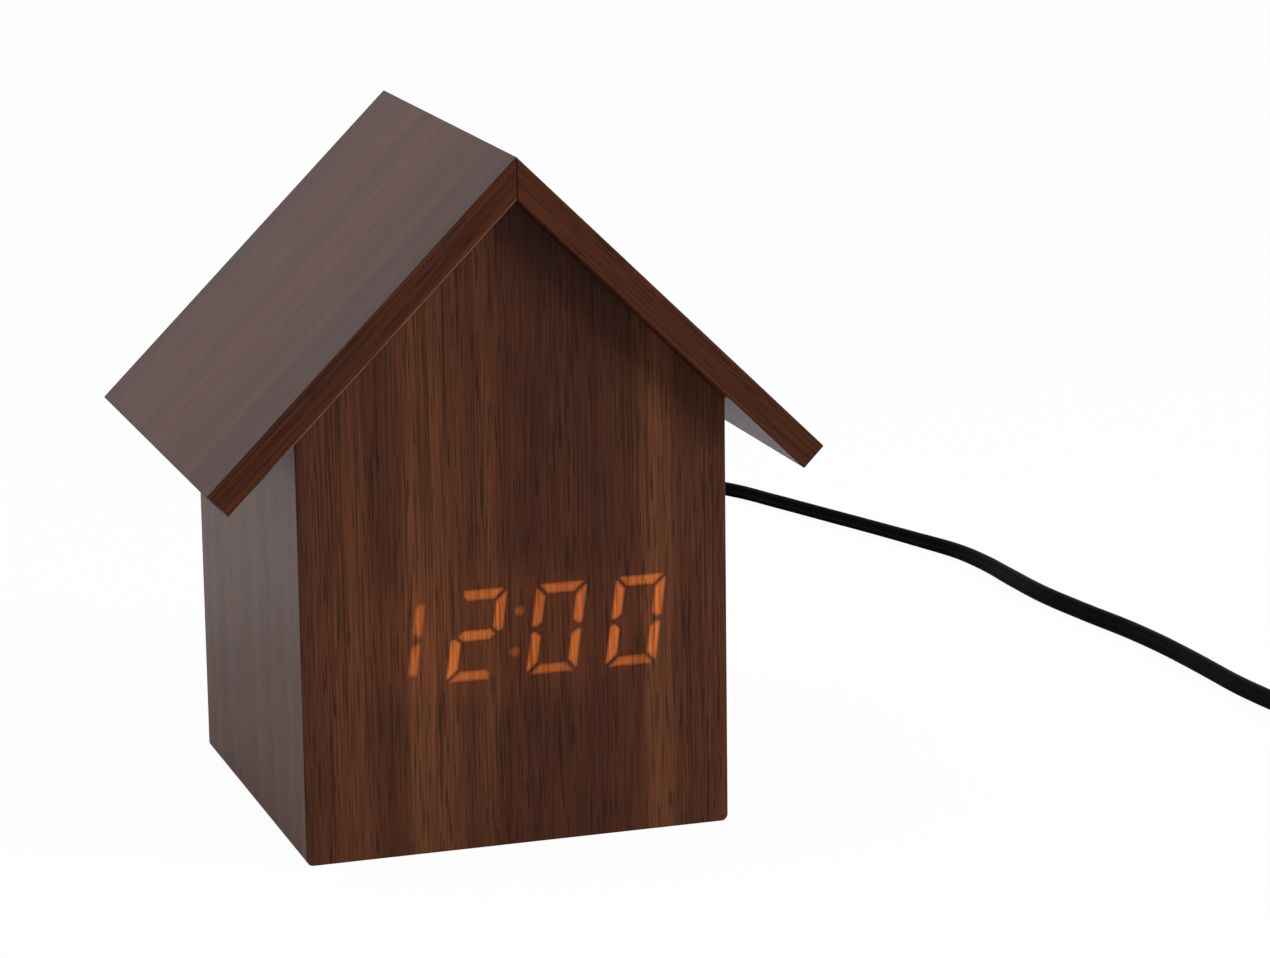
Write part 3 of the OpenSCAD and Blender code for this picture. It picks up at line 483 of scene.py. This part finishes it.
def white_floor():
    """White paper: to the eye almost plain white with a soft shadow, in a mirror mostly as it is lit."""
    paper, tree = bare_finish("white_paper_floor")
    direct = add(tree, "LightPath").outputs["Is Camera Ray"]
    share = add(tree, "Math", {
        0: add(tree, "Math", {0: direct, 1: 0.96}, operation="MULTIPLY"),
        1: add(tree, "Math", {0: seen(tree), 1: 0.1}, operation="MULTIPLY")}, operation="MAXIMUM")
    lit = add(tree, "BsdfDiffuse", {"Color": linear("#f0f0f0")})
    white = add(tree, "Emission", {"Color": linear("#ffffff"), "Strength": 1.0})
    add(tree, "OutputMaterial", {"Surface": add(tree, "MixShader", {0: share, 1: lit, 2: white})})
    disc = bmesh.new()
    bmesh.ops.create_circle(disc, cap_ends=True, segments=64, radius=5)
    mesh = bpy.data.meshes.new("floor")
    disc.to_mesh(mesh)
    disc.free()
    mesh.materials.append(paper)
    floor = placed("floor", mesh)
    floor.location.z = -0.05 * mm  # just under the part, so that no two faces lie in one plane


def white_room():
    """A white background whose own light on the part is weak."""
    room = bpy.data.worlds.new("white_room")
    bpy.context.scene.world = room
    room.use_nodes = True
    tree = room.node_tree
    tree.nodes.clear()
    ambient = add(tree, "Background", {"Color": linear("#ffffff"), "Strength": 0.08})
    white = add(tree, "Background", {"Color": linear("#ffffff"), "Strength": 1.0})
    add(tree, "OutputWorld", {"Surface": add(tree, "MixShader", {0: seen(tree), 1: ambient, 2: white})})


def soft_boxes():
    """A strong soft box to the right of the front, and a weak one above the left of the roof."""
    for name, place, aim, size, watts in (
        ("soft_box_right", (1.45, -1.3, 1.5), (0, 0, 0.08), 1.0, 62),
        ("soft_box_above", (-0.5, 0.1, 1.5), (0, 0, 0.1), 0.8, 11),
    ):
        lamp = bpy.data.lights.new(name, "AREA")
        lamp.size = size
        lamp.energy = watts
        box = placed(name, lamp)
        box.location = place
        box.rotation_euler = (Vector(aim) - Vector(place)).to_track_quat("-Z", "Y").to_euler()


# Other finishes

def moulded(name, colour, roughness, grain_mm, depth_mm, ior=1.5):
    """Injection-moulded plastic from a spark-eroded tool: a fine even grain that dulls its gloss."""
    made, tree = bare_finish(name)
    place = add(tree, "TexCoord").outputs["Object"]
    grain = add(tree, "TexNoise", {"Vector": place, "Scale": 1 / (grain_mm * mm), "Detail": 2.0})
    cloud = add(tree, "TexNoise", {"Vector": place, "Scale": 1 / (9 * mm), "Detail": 2.0})
    tone = add(tree, "MapRange", {"Value": cloud, **noise_span, "To Min": 0.88, "To Max": 1.12})
    add(tree, "OutputMaterial", {"Surface": add(tree, "BsdfPrincipled", {
        "Base Color": add(tree, "HueSaturation", {"Color": linear(colour), "Value": tone}),
        "Roughness": add(tree, "MapRange", {
            "Value": cloud, **noise_span, "To Min": roughness - 0.05, "To Max": roughness + 0.05}),
        "IOR": ior,
        "Normal": add(tree, "Bump", {"Height": grain, "Distance": depth_mm * mm, "Strength": 0.5}),
    })})
    return made


def plated(name, colour, roughness, brush_mm):
    """Plated metal, rolled before plating: fine lines along x break its mirror."""
    made, tree = bare_finish(name)
    fine = 1 / (brush_mm * mm)
    drawn = add(tree, "VectorMath", {
        0: add(tree, "TexCoord").outputs["Object"], 1: (fine / 20, fine, fine)}, operation="MULTIPLY")
    lines = add(tree, "TexNoise", {"Vector": drawn, "Scale": 1.0, "Detail": 2.0})
    add(tree, "OutputMaterial", {"Surface": add(tree, "BsdfPrincipled", {
        "Base Color": linear(colour), "Metallic": 1.0,
        "Roughness": add(tree, "MapRange", {
            "Value": lines, **noise_span, "To Min": roughness - 0.08, "To Max": roughness + 0.08}),
        "Normal": add(tree, "Bump", {"Height": lines, "Distance": 0.01 * mm, "Strength": 0.3}),
    })})
    return made


def tracked_board(name):
    """Glass-epoxy board under green solder mask: copper tracks show as a paler, slightly raised pattern."""
    made, tree = bare_finish(name)
    place = add(tree, "TexCoord").outputs["Object"]
    face = add(tree, "SeparateXYZ", {"Vector": place})
    flat = add(tree, "CombineXYZ", {"X": face.outputs["X"], "Y": face.outputs["Z"]})
    tracks = add(tree, "TexBrick", {
        "Vector": flat,
        "Color1": linear("#1d5434"), "Color2": linear("#215c3a"), "Mortar": linear("#3b7d50"),
        "Scale": 1.0, "Mortar Size": 0.15 * mm, "Brick Width": 7.6 * mm, "Row Height": 1.27 * mm})
    raised = add(tree, "Bump", {"Height": tracks.outputs["Fac"], "Distance": 0.03 * mm, "Strength": 0.6})
    add(tree, "OutputMaterial", {"Surface": add(tree, "BsdfPrincipled", {
        "Base Color": tracks.outputs["Color"], "Roughness": 0.35, "IOR": 1.5, "Normal": raised})})
    return made


def banded_sleeve(name):
    """Printed foil shrunk on a cell's steel can: bronze, then a cream line and a green band to each end."""
    made, tree = bare_finish(name)
    half_l = 23.0
    bands = [(0, "#8f6c38"), (14, "#d8cfb4"), (14.8, "#2f4a3c"), (22.2, "#9d9a94")]
    place = add(tree, "TexCoord").outputs["Object"]
    x = add(tree, "SeparateXYZ", {"Vector": place}).outputs["X"]
    aside = add(tree, "Math", {0: x, 1: middle_of("battery_cells").x * mm}, operation="SUBTRACT")
    reach = add(tree, "Math", {0: aside}, operation="ABSOLUTE")
    foil = add(tree, "ValToRGB", {"Fac": add(tree, "MapRange", {"Value": reach, "From Max": half_l * mm})})
    set_stops(foil.color_ramp, "CONSTANT", [(start / half_l, linear(colour)) for start, colour in bands])
    crease = add(tree, "TexNoise", {"Vector": place, "Scale": 1 / (1.5 * mm), "Detail": 2.0})
    add(tree, "OutputMaterial", {"Surface": add(tree, "BsdfPrincipled", {
        "Base Color": foil.outputs["Color"], "Metallic": 0.5,
        "Roughness": add(tree, "MapRange", {"Value": crease, "To Min": 0.25, "To Max": 0.4}),
        "Normal": add(tree, "Bump", {"Height": crease, "Distance": 0.02 * mm, "Strength": 0.3}),
    })})
    return made


def ribbon_strands(name):
    """Grey PVC extruded over side-by-side wires 1.27 mm apart: rounded ribs with painted shade in their
    grooves, and one edge dyed red.
    """
    made, tree = bare_finish(name)
    wire_pitch = 1.27 * mm
    x = add(tree, "SeparateXYZ", {"Vector": add(tree, "TexCoord").outputs["Object"]}).outputs["X"]
    turn = add(tree, "Math", {0: x, 1: math.pi / wire_pitch}, operation="MULTIPLY")
    ribs = add(tree, "Math", {0: add(tree, "Math", {0: turn}, operation="SINE")}, operation="ABSOLUTE")
    # Painted shade: the grey darkens in the grooves between the ribs
    grey = add(tree, "Mix", {"Factor": ribs, "A": linear("#6f7276"), "B": linear("#94979b")},
               data_type="RGBA")
    edge = add(tree, "Math", {0: x, 1: 3 * wire_pitch}, operation="GREATER_THAN")
    add(tree, "OutputMaterial", {"Surface": add(tree, "BsdfPrincipled", {
        "Base Color": add(tree, "Mix", {"Factor": edge, "A": grey, "B": linear("#8e2a25")},
                          data_type="RGBA"),
        "Roughness": 0.45, "IOR": 1.5,
        "Normal": add(tree, "Bump", {"Height": ribs, "Distance": 0.3 * mm, "Strength": 0.8}),
    })})
    return made


def woven_strap(name):
    """Woven nylon strap: threads over and under each other, drawn 0.9 mm apart so that they show, with
    painted shade where they dip.
    """
    made, tree = bare_finish(name)
    thread_pitch = 0.9 * mm
    place = add(tree, "SeparateXYZ", {"Vector": add(tree, "TexCoord").outputs["Object"]})
    along = add(tree, "Math", {0: place.outputs["Y"], 1: place.outputs["Z"]}, operation="ADD")
    waves = []
    for way in (place.outputs["X"], along):
        turn = add(tree, "Math", {0: way, 1: math.tau / thread_pitch}, operation="MULTIPLY")
        waves.append(add(tree, "Math", {0: turn}, operation="SINE"))
    weave = add(tree, "Math", {0: waves[0], 1: waves[1]}, operation="MULTIPLY")
    # Painted shade: a thread is darker where it dips under another
    height = add(tree, "MapRange", {"Value": weave, "From Min": -1.0})
    add(tree, "OutputMaterial", {"Surface": add(tree, "BsdfPrincipled", {
        "Base Color": add(tree, "Mix", {"Factor": height, "A": linear("#1a1a1a"), "B": linear("#353535")},
                          data_type="RGBA"),
        "Roughness": 0.85, "Sheen Weight": 0.2,
        "Normal": add(tree, "Bump", {"Height": weave, "Distance": 0.15 * mm, "Strength": 0.8}),
    })})
    return made


finishes = {
    # ABS for the plate, tray and door: charcoal black, dull from the eroded tool
    "black_plastic": moulded("moulded_black_abs", "#1a1a1c", 0.48, 0.5, 0.07),
    # ABS for what the fingers touch: a shade lighter and smoother
    "key_plastic": moulded("moulded_key_abs", "#262628", 0.38, 0.3, 0.012),
    # Cast acrylic with amber dye: clear edges hidden in the mask, a satin front that spreads the light
    "light_spreader": moulded("amber_acrylic", "#e07a2c", 0.3, 0.5, 0.01),
    # Cream silicone dabbed over each light chip, glossy and a little uneven
    "light_chip": moulded("light_chip_silicone", "#e8e2c8", 0.3, 0.5, 0.01),
    "circuit_board": tracked_board("solder_mask_on_glass_epoxy"),
    # Transfer-moulded epoxy: dull black with a coarse sparkle of filler
    "chip_plastic": moulded("chip_epoxy", "#1a1a1c", 0.6, 0.2, 0.02),
    # Cold-headed screws and pressed switch shells under bright zinc: cool grey with a soft shine
    "steel": plated("zinc_plated_steel", "#b9bcc0", 0.35, 0.05),
    # Nickel over brass, brighter and warmer than the zinc
    "nickel": plated("nickel_plating", "#d0cfcb", 0.22, 0.05),
    "cell_sleeve": banded_sleeve("printed_cell_sleeve"),
    # Shrunk vinyl, glossy dark blue
    "capacitor_sleeve": moulded("shrunk_capacitor_sleeve", "#26364f", 0.3, 0.5, 0.01),
    # Natural nylon, cream and slightly waxy
    "socket_nylon": moulded("socket_nylon", "#e4e0d4", 0.5, 0.3, 0.02),
    "ribbon_pvc": ribbon_strands("grey_ribbon_pvc"),
    # Soft PVC drawn over the cores: deep black with a faint satin line along each core
    "lead_pvc": moulded("black_lead_pvc", "#030303", 0.4, 0.6, 0.02, ior=1.07),
    "tie_fabric": woven_strap("woven_tie_nylon"),
    "walnut_veneer": wall_finish,
    "walnut_board": rear_finish,
}
# Pad-printed ink: off-white, dry and a little thin in places
print_finish = moulded("pad_print_ink", "#c4c4bf", 0.6, 0.2, 0.01)
# Hard gold flashed on the supply plug's contacts: warm yellow and bright
gold_finish = plated("gold_flash", "#d9b15c", 0.2, 0.05)


# Lit digits behind the veneer, in millimetres: the front face carries their outlines

digit_w = 12.2
digit_h = 21.2
digit_pitch = 18.8
digit_lean = math.tan(math.radians(8))
segment_w = 2.6
mitre = 0.4 / math.sqrt(2)  # half the gap between two bars, measured along a side
corner_cut = 1.1
corner_nick = 0.5
middle_gap = 0.45
tip_inset = 1.6
colon_d = 2.4
colon_spacing = 9.4
colon_steps = 24
bar_edges = [(0.25, 0.0), (-0.2, 0.7), (-0.75, 1.0)]  # steps out from a bar's outline, and the glow there
dot_edges = [(0.5, 0.0), (0.0, 0.75), (-0.7, 1.0)]
dot_glows = {-1: 0.52, 1: 0.58}  # the lower dot and the upper one
tip_fade = 0.65  # a bar fades along its length over half as far again as across it
dark_tip = 1.0  # a tip that no lit bar meets stays dark for this length
half_w = digit_w / 2
half_h = digit_h / 2
level_bar = [
    (corner_cut - half_w, half_h), (half_w - corner_cut, half_h),
    (half_w - corner_nick - mitre, half_h - corner_nick), (half_w - segment_w - mitre, half_h - segment_w),
    (segment_w + mitre - half_w, half_h - segment_w), (corner_nick + mitre - half_w, half_h - corner_nick),
]
upright_bar = [
    (half_w, half_h - corner_cut), (half_w, 2 * middle_gap), (half_w - middle_gap, middle_gap),
    (half_w - tip_inset + mitre, middle_gap), (half_w - segment_w, segment_w / 2 + mitre),
    (half_w - segment_w, half_h - segment_w - mitre), (half_w - corner_nick, half_h - corner_nick - mitre),
]
middle_bar = [
    (s * x, s * z) for s in (1, -1) for x, z in (
        (tip_inset - half_w, 0), (tip_inset + segment_w / 2 - half_w, segment_w / 2),
        (half_w - tip_inset - segment_w / 2, segment_w / 2))
]
# Each bar's outline, its mirroring in x and z, and how bright its lights are
bars = {
    "top": (level_bar, 1, 1, 0.87), "bottom": (level_bar, 1, -1, 0.77), "middle": (middle_bar, 1, 1, 0.92),
    "upper_right": (upright_bar, 1, 1, 0.92), "upper_left": (upright_bar, -1, 1, 0.93),
    "lower_right": (upright_bar, 1, -1, 0.92), "lower_left": (upright_bar, -1, -1, 1.04),
}
digit_glows = [0.71, 0.94, 0.87, 0.94]
lit_bars = [
    ("upper_right", "lower_right"),
    ("top", "upper_right", "middle", "lower_left", "bottom"),
    *(2 * [("top", "upper_right", "lower_right", "bottom", "lower_left", "upper_left")]),
]
# Ends of bars that no lit bar meets, by digit and bar: a line on each bar and its way out
free_ends = {
    (0, "upper_right"): ((0, half_h - corner_cut - dark_tip), (0, 1)),
    (0, "lower_right"): ((0, half_h - corner_cut - dark_tip), (0, 1)),
    (1, "top"): ((corner_nick + mitre - half_w + dark_tip, 0), (-1, 0)),
    (1, "bottom"): ((half_w - corner_nick - mitre - dark_tip, 0), (1, 0)),
}


def sides_of(outline):
    """The sides of a convex outline: a point on each and its outward way."""
    pairs = [(Vector(p), Vector(q)) for p, q in zip(outline, outline[1:] + outline[:1])]
    turn = math.copysign(1, sum(p.cross(q) for p, q in pairs))
    return [(p, Vector((q.y - p.y, p.x - q.x)).normalized() * turn) for p, q in pairs]


def trimmed(outline, p, out):
    """A convex outline without what lies past a line through p, whose outward way is given."""
    depths = [(q - p).dot(out) for q in outline]
    kept = []
    for i, q in enumerate(outline):
        before, depth = depths[i - 1], depths[i]
        if (before < 0) != (depth < 0):
            kept.append(outline[i - 1].lerp(q, before / (before - depth)))
        if depth < 0:
            kept.append(q)
    return kept


def moved_out(outline, distance):
    """A convex outline with each side moved outwards, or inwards where the distance is negative."""
    reach = 200
    found = [Vector(p) for p in ((-reach, -reach), (reach, -reach), (reach, reach), (-reach, reach))]
    for p, out in sides_of(outline):
        found = trimmed(found, p + out * distance, out)
    return found


def lit_outlines():
    """Outlines of the lit bars and dots, each with how it fades in x and z and how its edge glows."""
    for i, names in enumerate(lit_bars):
        for name in names:
            outline, sx, sz, glow = bars[name]
            fade = (1, tip_fade) if outline is upright_bar else (tip_fade, 1)
            if (i, name) in free_ends:
                outline = trimmed([Vector(p) for p in outline], *(Vector(v) for v in free_ends[i, name]))
            digit_x = (i - 1.5) * digit_pitch
            points = [(sx * x + sz * z * digit_lean + digit_x, display_z + sz * z) for x, z in outline]
            yield fade, points, [(step, share * glow * digit_glows[i]) for step, share in bar_edges]
    angles = [math.tau * k / colon_steps for k in range(colon_steps)]
    for s, glow in dot_glows.items():
        z = s * colon_spacing / 2
        r = colon_d / 2
        points = [(z * digit_lean + r * math.cos(a), display_z + z + r * math.sin(a)) for a in angles]
        yield (1, 1), points, [(step, share * glow) for step, share in dot_edges]


def front_rim(low, high):
    """The outline of the front veneer's face in x and z, in order round its middle."""
    near = 0.01  # how far a point may be off the face
    solid = frame["nodes"]["front_veneer"].data
    face = [v.co / mm for v in solid.vertices if abs(v.co.y / mm - low.y) < near]
    middle_z = (low.z + high.z) / 2
    return sorted({(round(p.x, 4), round(p.z, 4)) for p in face},
                  key=lambda p: math.atan2(p[1] - middle_z, p[0]))


def lit_front():
    """The front veneer, with a small bevel on its edge and its face cut along the digits' outlines."""
    bevel = 0.2
    merge = 1e-5  # points of the cuts that are closer than this are one
    low, high = (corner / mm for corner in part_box("front_veneer"))
    rim = front_rim(low, high)
    ways = [out for _, out in sides_of(rim)]
    inset = [Vector(p) - (a + b) * bevel / (1 + a.dot(b)) for p, a, b in zip(rim, ways[-1:] + ways, ways)]
    flat, sides, glow = [], [], []

    def outline(points, brightness):
        """Cuts the face along a closed outline that glows as given."""
        first = len(flat)
        flat.extend(Vector(p).to_2d() for p in points)
        glow.extend([brightness] * len(points))
        sides.extend((first + i, first + (i + 1) % len(points)) for i in range(len(points)))

    outline(inset, 0.0)
    for (wide, tall), shape, edges in lit_outlines():
        for step, brightness in edges:
            if step > 0:
                outline(moved_out(shape, step), brightness)
            else:
                squeezed = moved_out([(x * wide, z * tall) for x, z in shape], step)
                outline([(p.x / wide, p.y / tall) for p in squeezed], brightness)
    face_points, _, faces, sources, _, _ = delaunay_2d_cdt(flat, sides, [], 0, merge)
    count = len(rim)
    points = [(p.x, low.y, p.y) for p in face_points]
    glows = [max((glow[s] for s in source), default=0.0) for source in sources]
    place_of = {s: i for i, source in enumerate(sources) for s in source}
    ring = [place_of[i] for i in range(count)]
    for y in (low.y + bevel, high.y):
        first = len(points)
        points += [(x, y, z) for x, z in rim]
        glows += [0.0] * count
        below = [first + i for i in range(count)]
        faces = list(faces) + [
            (ring[i], ring[(i + 1) % count], below[(i + 1) % count], below[i]) for i in range(count)]
        ring = below
    faces.append(tuple(ring))
    mesh = mesh_from((points, faces))
    mesh.attributes.new("glow", "FLOAT", "POINT").data.foreach_set("value", glows)
    piece("front_veneer_lit", mesh, "case", "walnut_veneer", ["front_veneer"], front_finish)


# Boards

board_round = 0.3
shortest_edge = 5  # shorter edges of a board get no round


def roof_board(node, face_finish, strip_finish, lower_finish):
    """A roof board with strips of veneer glued on its ends, and a finish for their lower edges that may
    carry a painted highlight.
    """
    mesh = eased(node, board_round, shortest_edge, face_finish).data
    mesh.materials.append(strip_finish)
    mesh.materials.append(lower_finish)
    for face in mesh.polygons:
        facing = abs(face.normal.y)  # 1 where the face looks to the front or the rear
        if 0.1 < facing < 0.97 and face.normal.z < -0.1:
            face.material_index = 2
        else:
            face.material_index = int(facing > 0.7)


# Controls, in millimetres

plastic_round = 0.2
plate_low, plate_high = (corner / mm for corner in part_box("control_plate"))
rear_y = plate_high.y
row_z = middle_of("set_plunger").z
button_x = {name: middle_of(name + "_plunger").x for name in ("set", "up", "down")}
knob_x = middle_of("alarm_knob").x


def push_buttons():
    """Turned caps on flanged stems, with a rounded edge and a shallow dish for the fingertip."""
    stem_y, tip_y = (corner.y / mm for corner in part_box("set_button"))
    flange_y = rear_y - 2.65  # close behind the plate
    stem_r, flange_r, cap_r = 1.5, 4.5, 3.5
    edge_r = 0.6
    dish_r, dish_depth = cap_r - edge_r, 0.27
    profile = [
        (stem_r - 0.1, stem_y), (stem_r, stem_y + 0.2), (stem_r, flange_y - 1),
        (flange_r - 0.2, flange_y - 1), (flange_r, flange_y - 0.85), (flange_r, flange_y - 0.15),
        (flange_r - 0.2, flange_y), (cap_r, flange_y),
        *((dish_r + edge_r * math.cos(a), tip_y - edge_r + edge_r * math.sin(a))
          for a in (math.radians(15 * i) for i in range(7))),
        *((r, tip_y - dish_depth * (1 - (r / dish_r) ** 2)) for r in (2.4, 1.9, 1.4, 0.9, 0.4, 0.1)),
    ]
    for name, x in button_x.items():
        mesh = mesh_from(turned(profile, x, row_z))
        piece(name + "_cap", mesh, name + "_key", "key_plastic", [name + "_button"])


def plate_screws():
    """Screws whose flat heads are sunk in the plate's corners, with a cross recess."""
    def cross(size):
        """A function that gives the distance to a cross's edge at an angle."""
        arm = 1.2 * size
        half = arm * math.tan(math.radians(15))

        def edge(a):
            """The farther of the edges of the level arms and the upright ones."""
            c, s = (max(abs(v), 1e-6) for v in (math.cos(a), math.sin(a)))
            return max(min(arm / c, half / s), min(arm / s, half / c))
        return edge

    shank_r, head_r = 1.0, 1.9
    top, seat, tip = rear_y - 0.02, rear_y - 1.3, rear_y - 6.3
    profile = [
        (0.3, tip), (0.6, tip + 0.5), (shank_r, tip + 1.3), (shank_r, seat), (head_r - 0.2, seat + 0.05),
        (head_r, seat + 0.25), (head_r, top - 0.23), (head_r - 0.06, top - 0.08), (head_r - 0.2, top),
        (cross(1.08), top), (cross(1.0), top - 0.08), (cross(0.72), top - 0.98),
    ]
    inset = 3  # from the plate's edges to a screw's middle
    places = [
        (x, z) for x in (plate_low.x + inset, plate_high.x - inset)
        for z in (plate_low.z + inset, plate_high.z - inset)]
    mesh = mesh_from(*(turned(profile, x, z) for x, z in places))
    piece("cross_screws", mesh, "case", "steel", ["plate_screws"])


def letters(word, x, z, size, low, high):
    """A skin over a raised word, centred on x and read from behind, that runs from one y to another."""
    text = bpy.data.curves.new("word", "FONT")
    text.body = word
    text.size = size
    text.align_x = "CENTER"
    text.extrude = (high - low) / 2
    holder = bpy.data.objects.new("word", text)
    mesh = bpy.data.meshes.new_from_object(holder)
    made = (
        [(x - v.co.x, (low + high) / 2 + v.co.z, z + v.co.y) for v in mesh.vertices],
        [list(face.vertices) for face in mesh.polygons])
    bpy.data.meshes.remove(mesh)
    bpy.data.objects.remove(holder)
    bpy.data.curves.remove(text)
    return made


def plate_marks():
    """Printed marks over the controls: a word, triangles for up and down, and the switch's two ends."""
    ink = (rear_y - 0.02, rear_y + 0.03)
    word_z, end_z, triangle_z = row_z + 6.35, row_z + 3.35, row_z + 7.25
    word_size, end_size = 2.8, 2.1
    skins = [
        letters("SET", button_x["set"], word_z, word_size, *ink),
        letters("OFF", knob_x - 1.6, end_z, end_size, *ink),
        letters("ON", knob_x + 4.4, end_z, end_size, *ink),
    ]
    for x, way in ((button_x["up"], 1), (button_x["down"], -1)):
        base = [(x - 1.3, triangle_z - way), (x + 1.3, triangle_z - way)]
        skins.append(prism([*base, (x, triangle_z + way * 1.2)], *ink))
    piece("plate_marks", mesh_from(*skins), "case", "socket_nylon", finish=print_finish)


def knob_ridges():
    """Three ridges across the alarm switch's knob for a fingernail."""
    ridge_w, ridge_h = 0.4, 2.3
    tip_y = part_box("alarm_knob")[1].y / mm
    ridges = [
        prism(rounded(knob_x + dx, row_z, ridge_w, ridge_h, 0.15, 3), tip_y - 0.1, tip_y + 0.25)
        for dx in (-0.8, 0, 0.8)]
    piece("knob_ridges", mesh_from(*ridges), "alarm_slider", "key_plastic")


# Plugs and ties, in millimetres

jack = middle_of("power_jack")
supply = middle_of("usb_shell")


def plug_sleeve():
    """The moulded grip of the barrel plug, with finger rings and a ribbed, tapered strain relief."""
    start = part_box("plug_grip")[0].y / mm
    relief_y = start + 21
    grip_r = 5
    groove_r = 4.7
    profile = [(4.5, start), (4.85, start + 0.12), (grip_r, start + 0.5)]
    for i in range(6):
        y = start + 3.5 + 2 * i
        profile += [(grip_r, y), (groove_r, y + 0.3), (groove_r, y + 0.9), (grip_r, y + 1.2)]
    profile += [(grip_r, relief_y - 1.1), (4.8, relief_y - 0.4), (4.3, relief_y)]
    for i in range(5):
        y = relief_y + 2.7 * i
        r = 3.8 - 0.15 * i
        profile += [
            (r - 0.75, y + 0.1), (r - 0.75, y + 0.9), (r - 0.1, y + 1.0), (r, y + 1.2), (r, y + 2.4),
            (r - 0.2, y + 2.65)]
    mesh = mesh_from(turned(profile, jack.x, jack.z))
    return piece("plug_sleeve", mesh, "case", "lead_pvc", ["plug_grip"])


def supply_grip():
    """The supply plug's moulded grip with finger rings and a short, tapered strain relief."""
    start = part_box("usb_grip")[0].y / mm
    # Each ring's y past the grip's start, then its width, height and corner radius
    full = (16, 8, 2.5)
    groove = (15.3, 7.3, 2.4)
    relief = [(-9, 4.0, 6.0, 1.6), (-8.8, 4.4, 6.4, 1.7), (-0.4, 5.6, 7.4, 2.0)]
    rings = [*relief, (0, 13.6, 6.2, 2.0), (0.2, 15.0, 7.2, 2.3), (0.9, *full)]
    for i in range(6):
        y = 6 + 2.2 * i
        rings += [(y, *full), (y + 0.35, *groove), (y + 1.0, *groove), (y + 1.35, *full)]
    rings += [(23.4, *full), (23.9, 15.2, 7.2, 2.3), (24, 14.6, 6.6, 2.1)]
    mesh = mesh_from(skin([
        [(x, start + y, z) for x, z in rounded(supply.x, supply.z, *size)] for y, *size in rings]))
    return piece("supply_grip", mesh, "case", "lead_pvc", ["usb_grip"])


def windowed_shell():
    """The supply plug's folded shell, with two windows in its upper and lower face."""
    window_w, window_y = 2.5, (34.5, 36.5)
    through = 6  # taller than the shell
    shell = placed("shell", frame["nodes"]["usb_shell"].data.copy())
    outlines = [rounded(supply.x + dx, supply.z, window_w, through, 0.1, 2) for dx in (-2.6, 2.6)]
    windows = placed("windows", mesh_from(*(prism(outline, *window_y) for outline in outlines)))
    cut = shell.modifiers.new("windows", "BOOLEAN")
    cut.object = windows
    ready = shell.evaluated_get(bpy.context.evaluated_depsgraph_get())
    mesh = bpy.data.meshes.new_from_object(ready)
    mesh.materials.clear()
    for scrap in (shell, windows):
        bpy.data.objects.remove(scrap)
    return piece("windowed_shell", mesh, "case", "nickel", ["usb_shell"])


def supply_contacts():
    """Four gilt contacts let into the lower face of the supply plug's tongue."""
    half = 0.5
    back_y, front_y = 38, 45.8
    face_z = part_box("usb_tongue")[0].z / mm
    low, high = face_z - 0.1, face_z + 0.05
    strips = [
        prism([(x - half, low), (x + half, low), (x + half, high), (x - half, high)], back_y, front_y)
        for x in (supply.x + dx for dx in (-3.5, -1, 1, 3.5))]
    return piece("supply_contacts", mesh_from(*strips), "case", "nickel", finish=gold_finish)


def coil_straps():
    """Woven straps round the coil, with rounded corners and an overlapping end on top."""
    strap_w, strap_t = 8, 0.8
    low_r, high_r, low_z, high_z, bend = 22.4, 35.5, 0.4, 12.2, 2.4
    overlap_r, overlap_w, overlap_l, overlap_z = 29.5, 7.6, 7, (12.5, 13.1)
    across = rounded(0, 0, strap_w, strap_t, 0.25, 3)
    middle = ((low_r + high_r) / 2, (low_z + high_z) / 2)
    loop = rounded(*middle, high_r - low_r, high_z - low_z, bend, 6)
    overlap = rounded(0, overlap_r, overlap_w, overlap_l, 1.5)
    x0, y0 = coil_middle
    skins = []
    for side in (-1, 1):
        rings = []
        for i, (r, z) in enumerate(loop):
            before, after = Vector(loop[i - 1]), Vector(loop[(i + 1) % len(loop)])
            ahead = (after - before).normalized()
            rings.append([(x0 + u, y0 + side * (r + ahead.y * v), z - ahead.x * v) for u, v in across])
        skins.append(skin(rings, closed=True))
        skins.append(skin([[(x0 + u, y0 + side * r, z) for u, r in overlap] for z in overlap_z]))
    return piece("coil_straps", mesh_from(*skins), "case", "tie_fabric", ["coil_ties"], crease=50)


# Pieces

for node, slot in slots.items():
    solid = frame["nodes"][node]
    solid.data.materials.clear()
    solid.data.materials.append(finishes[slot])
lead, lead_line = twin_lead()
plug_sleeve()
coil_straps()
supply_grip()
windowed_shell()
supply_contacts()
# The left strips' lower edge gets a pale painted highlight; the right strips keep their own finish there
roof_board("roof_left", roof_left_finish, strip_left_finish, painted_highlight_edge_finish)
roof_board("roof_right", roof_right_finish, strip_right_finish, strip_right_finish)
eased("floor_board", board_round, shortest_edge, rear_finish)
# The walls are mitred with the veneer wrapped tight round their corners, so they stay as packed
frame["nodes"]["rear_board"].data.materials[0] = rear_finish
lit_front()
for node, shortest in (("control_plate", 60), ("battery_door", 0), ("alarm_knob", 2)):
    eased(node, plastic_round, shortest)
push_buttons()
plate_screws()
plate_marks()
knob_ridges()
white_floor()
white_room()
soft_boxes()
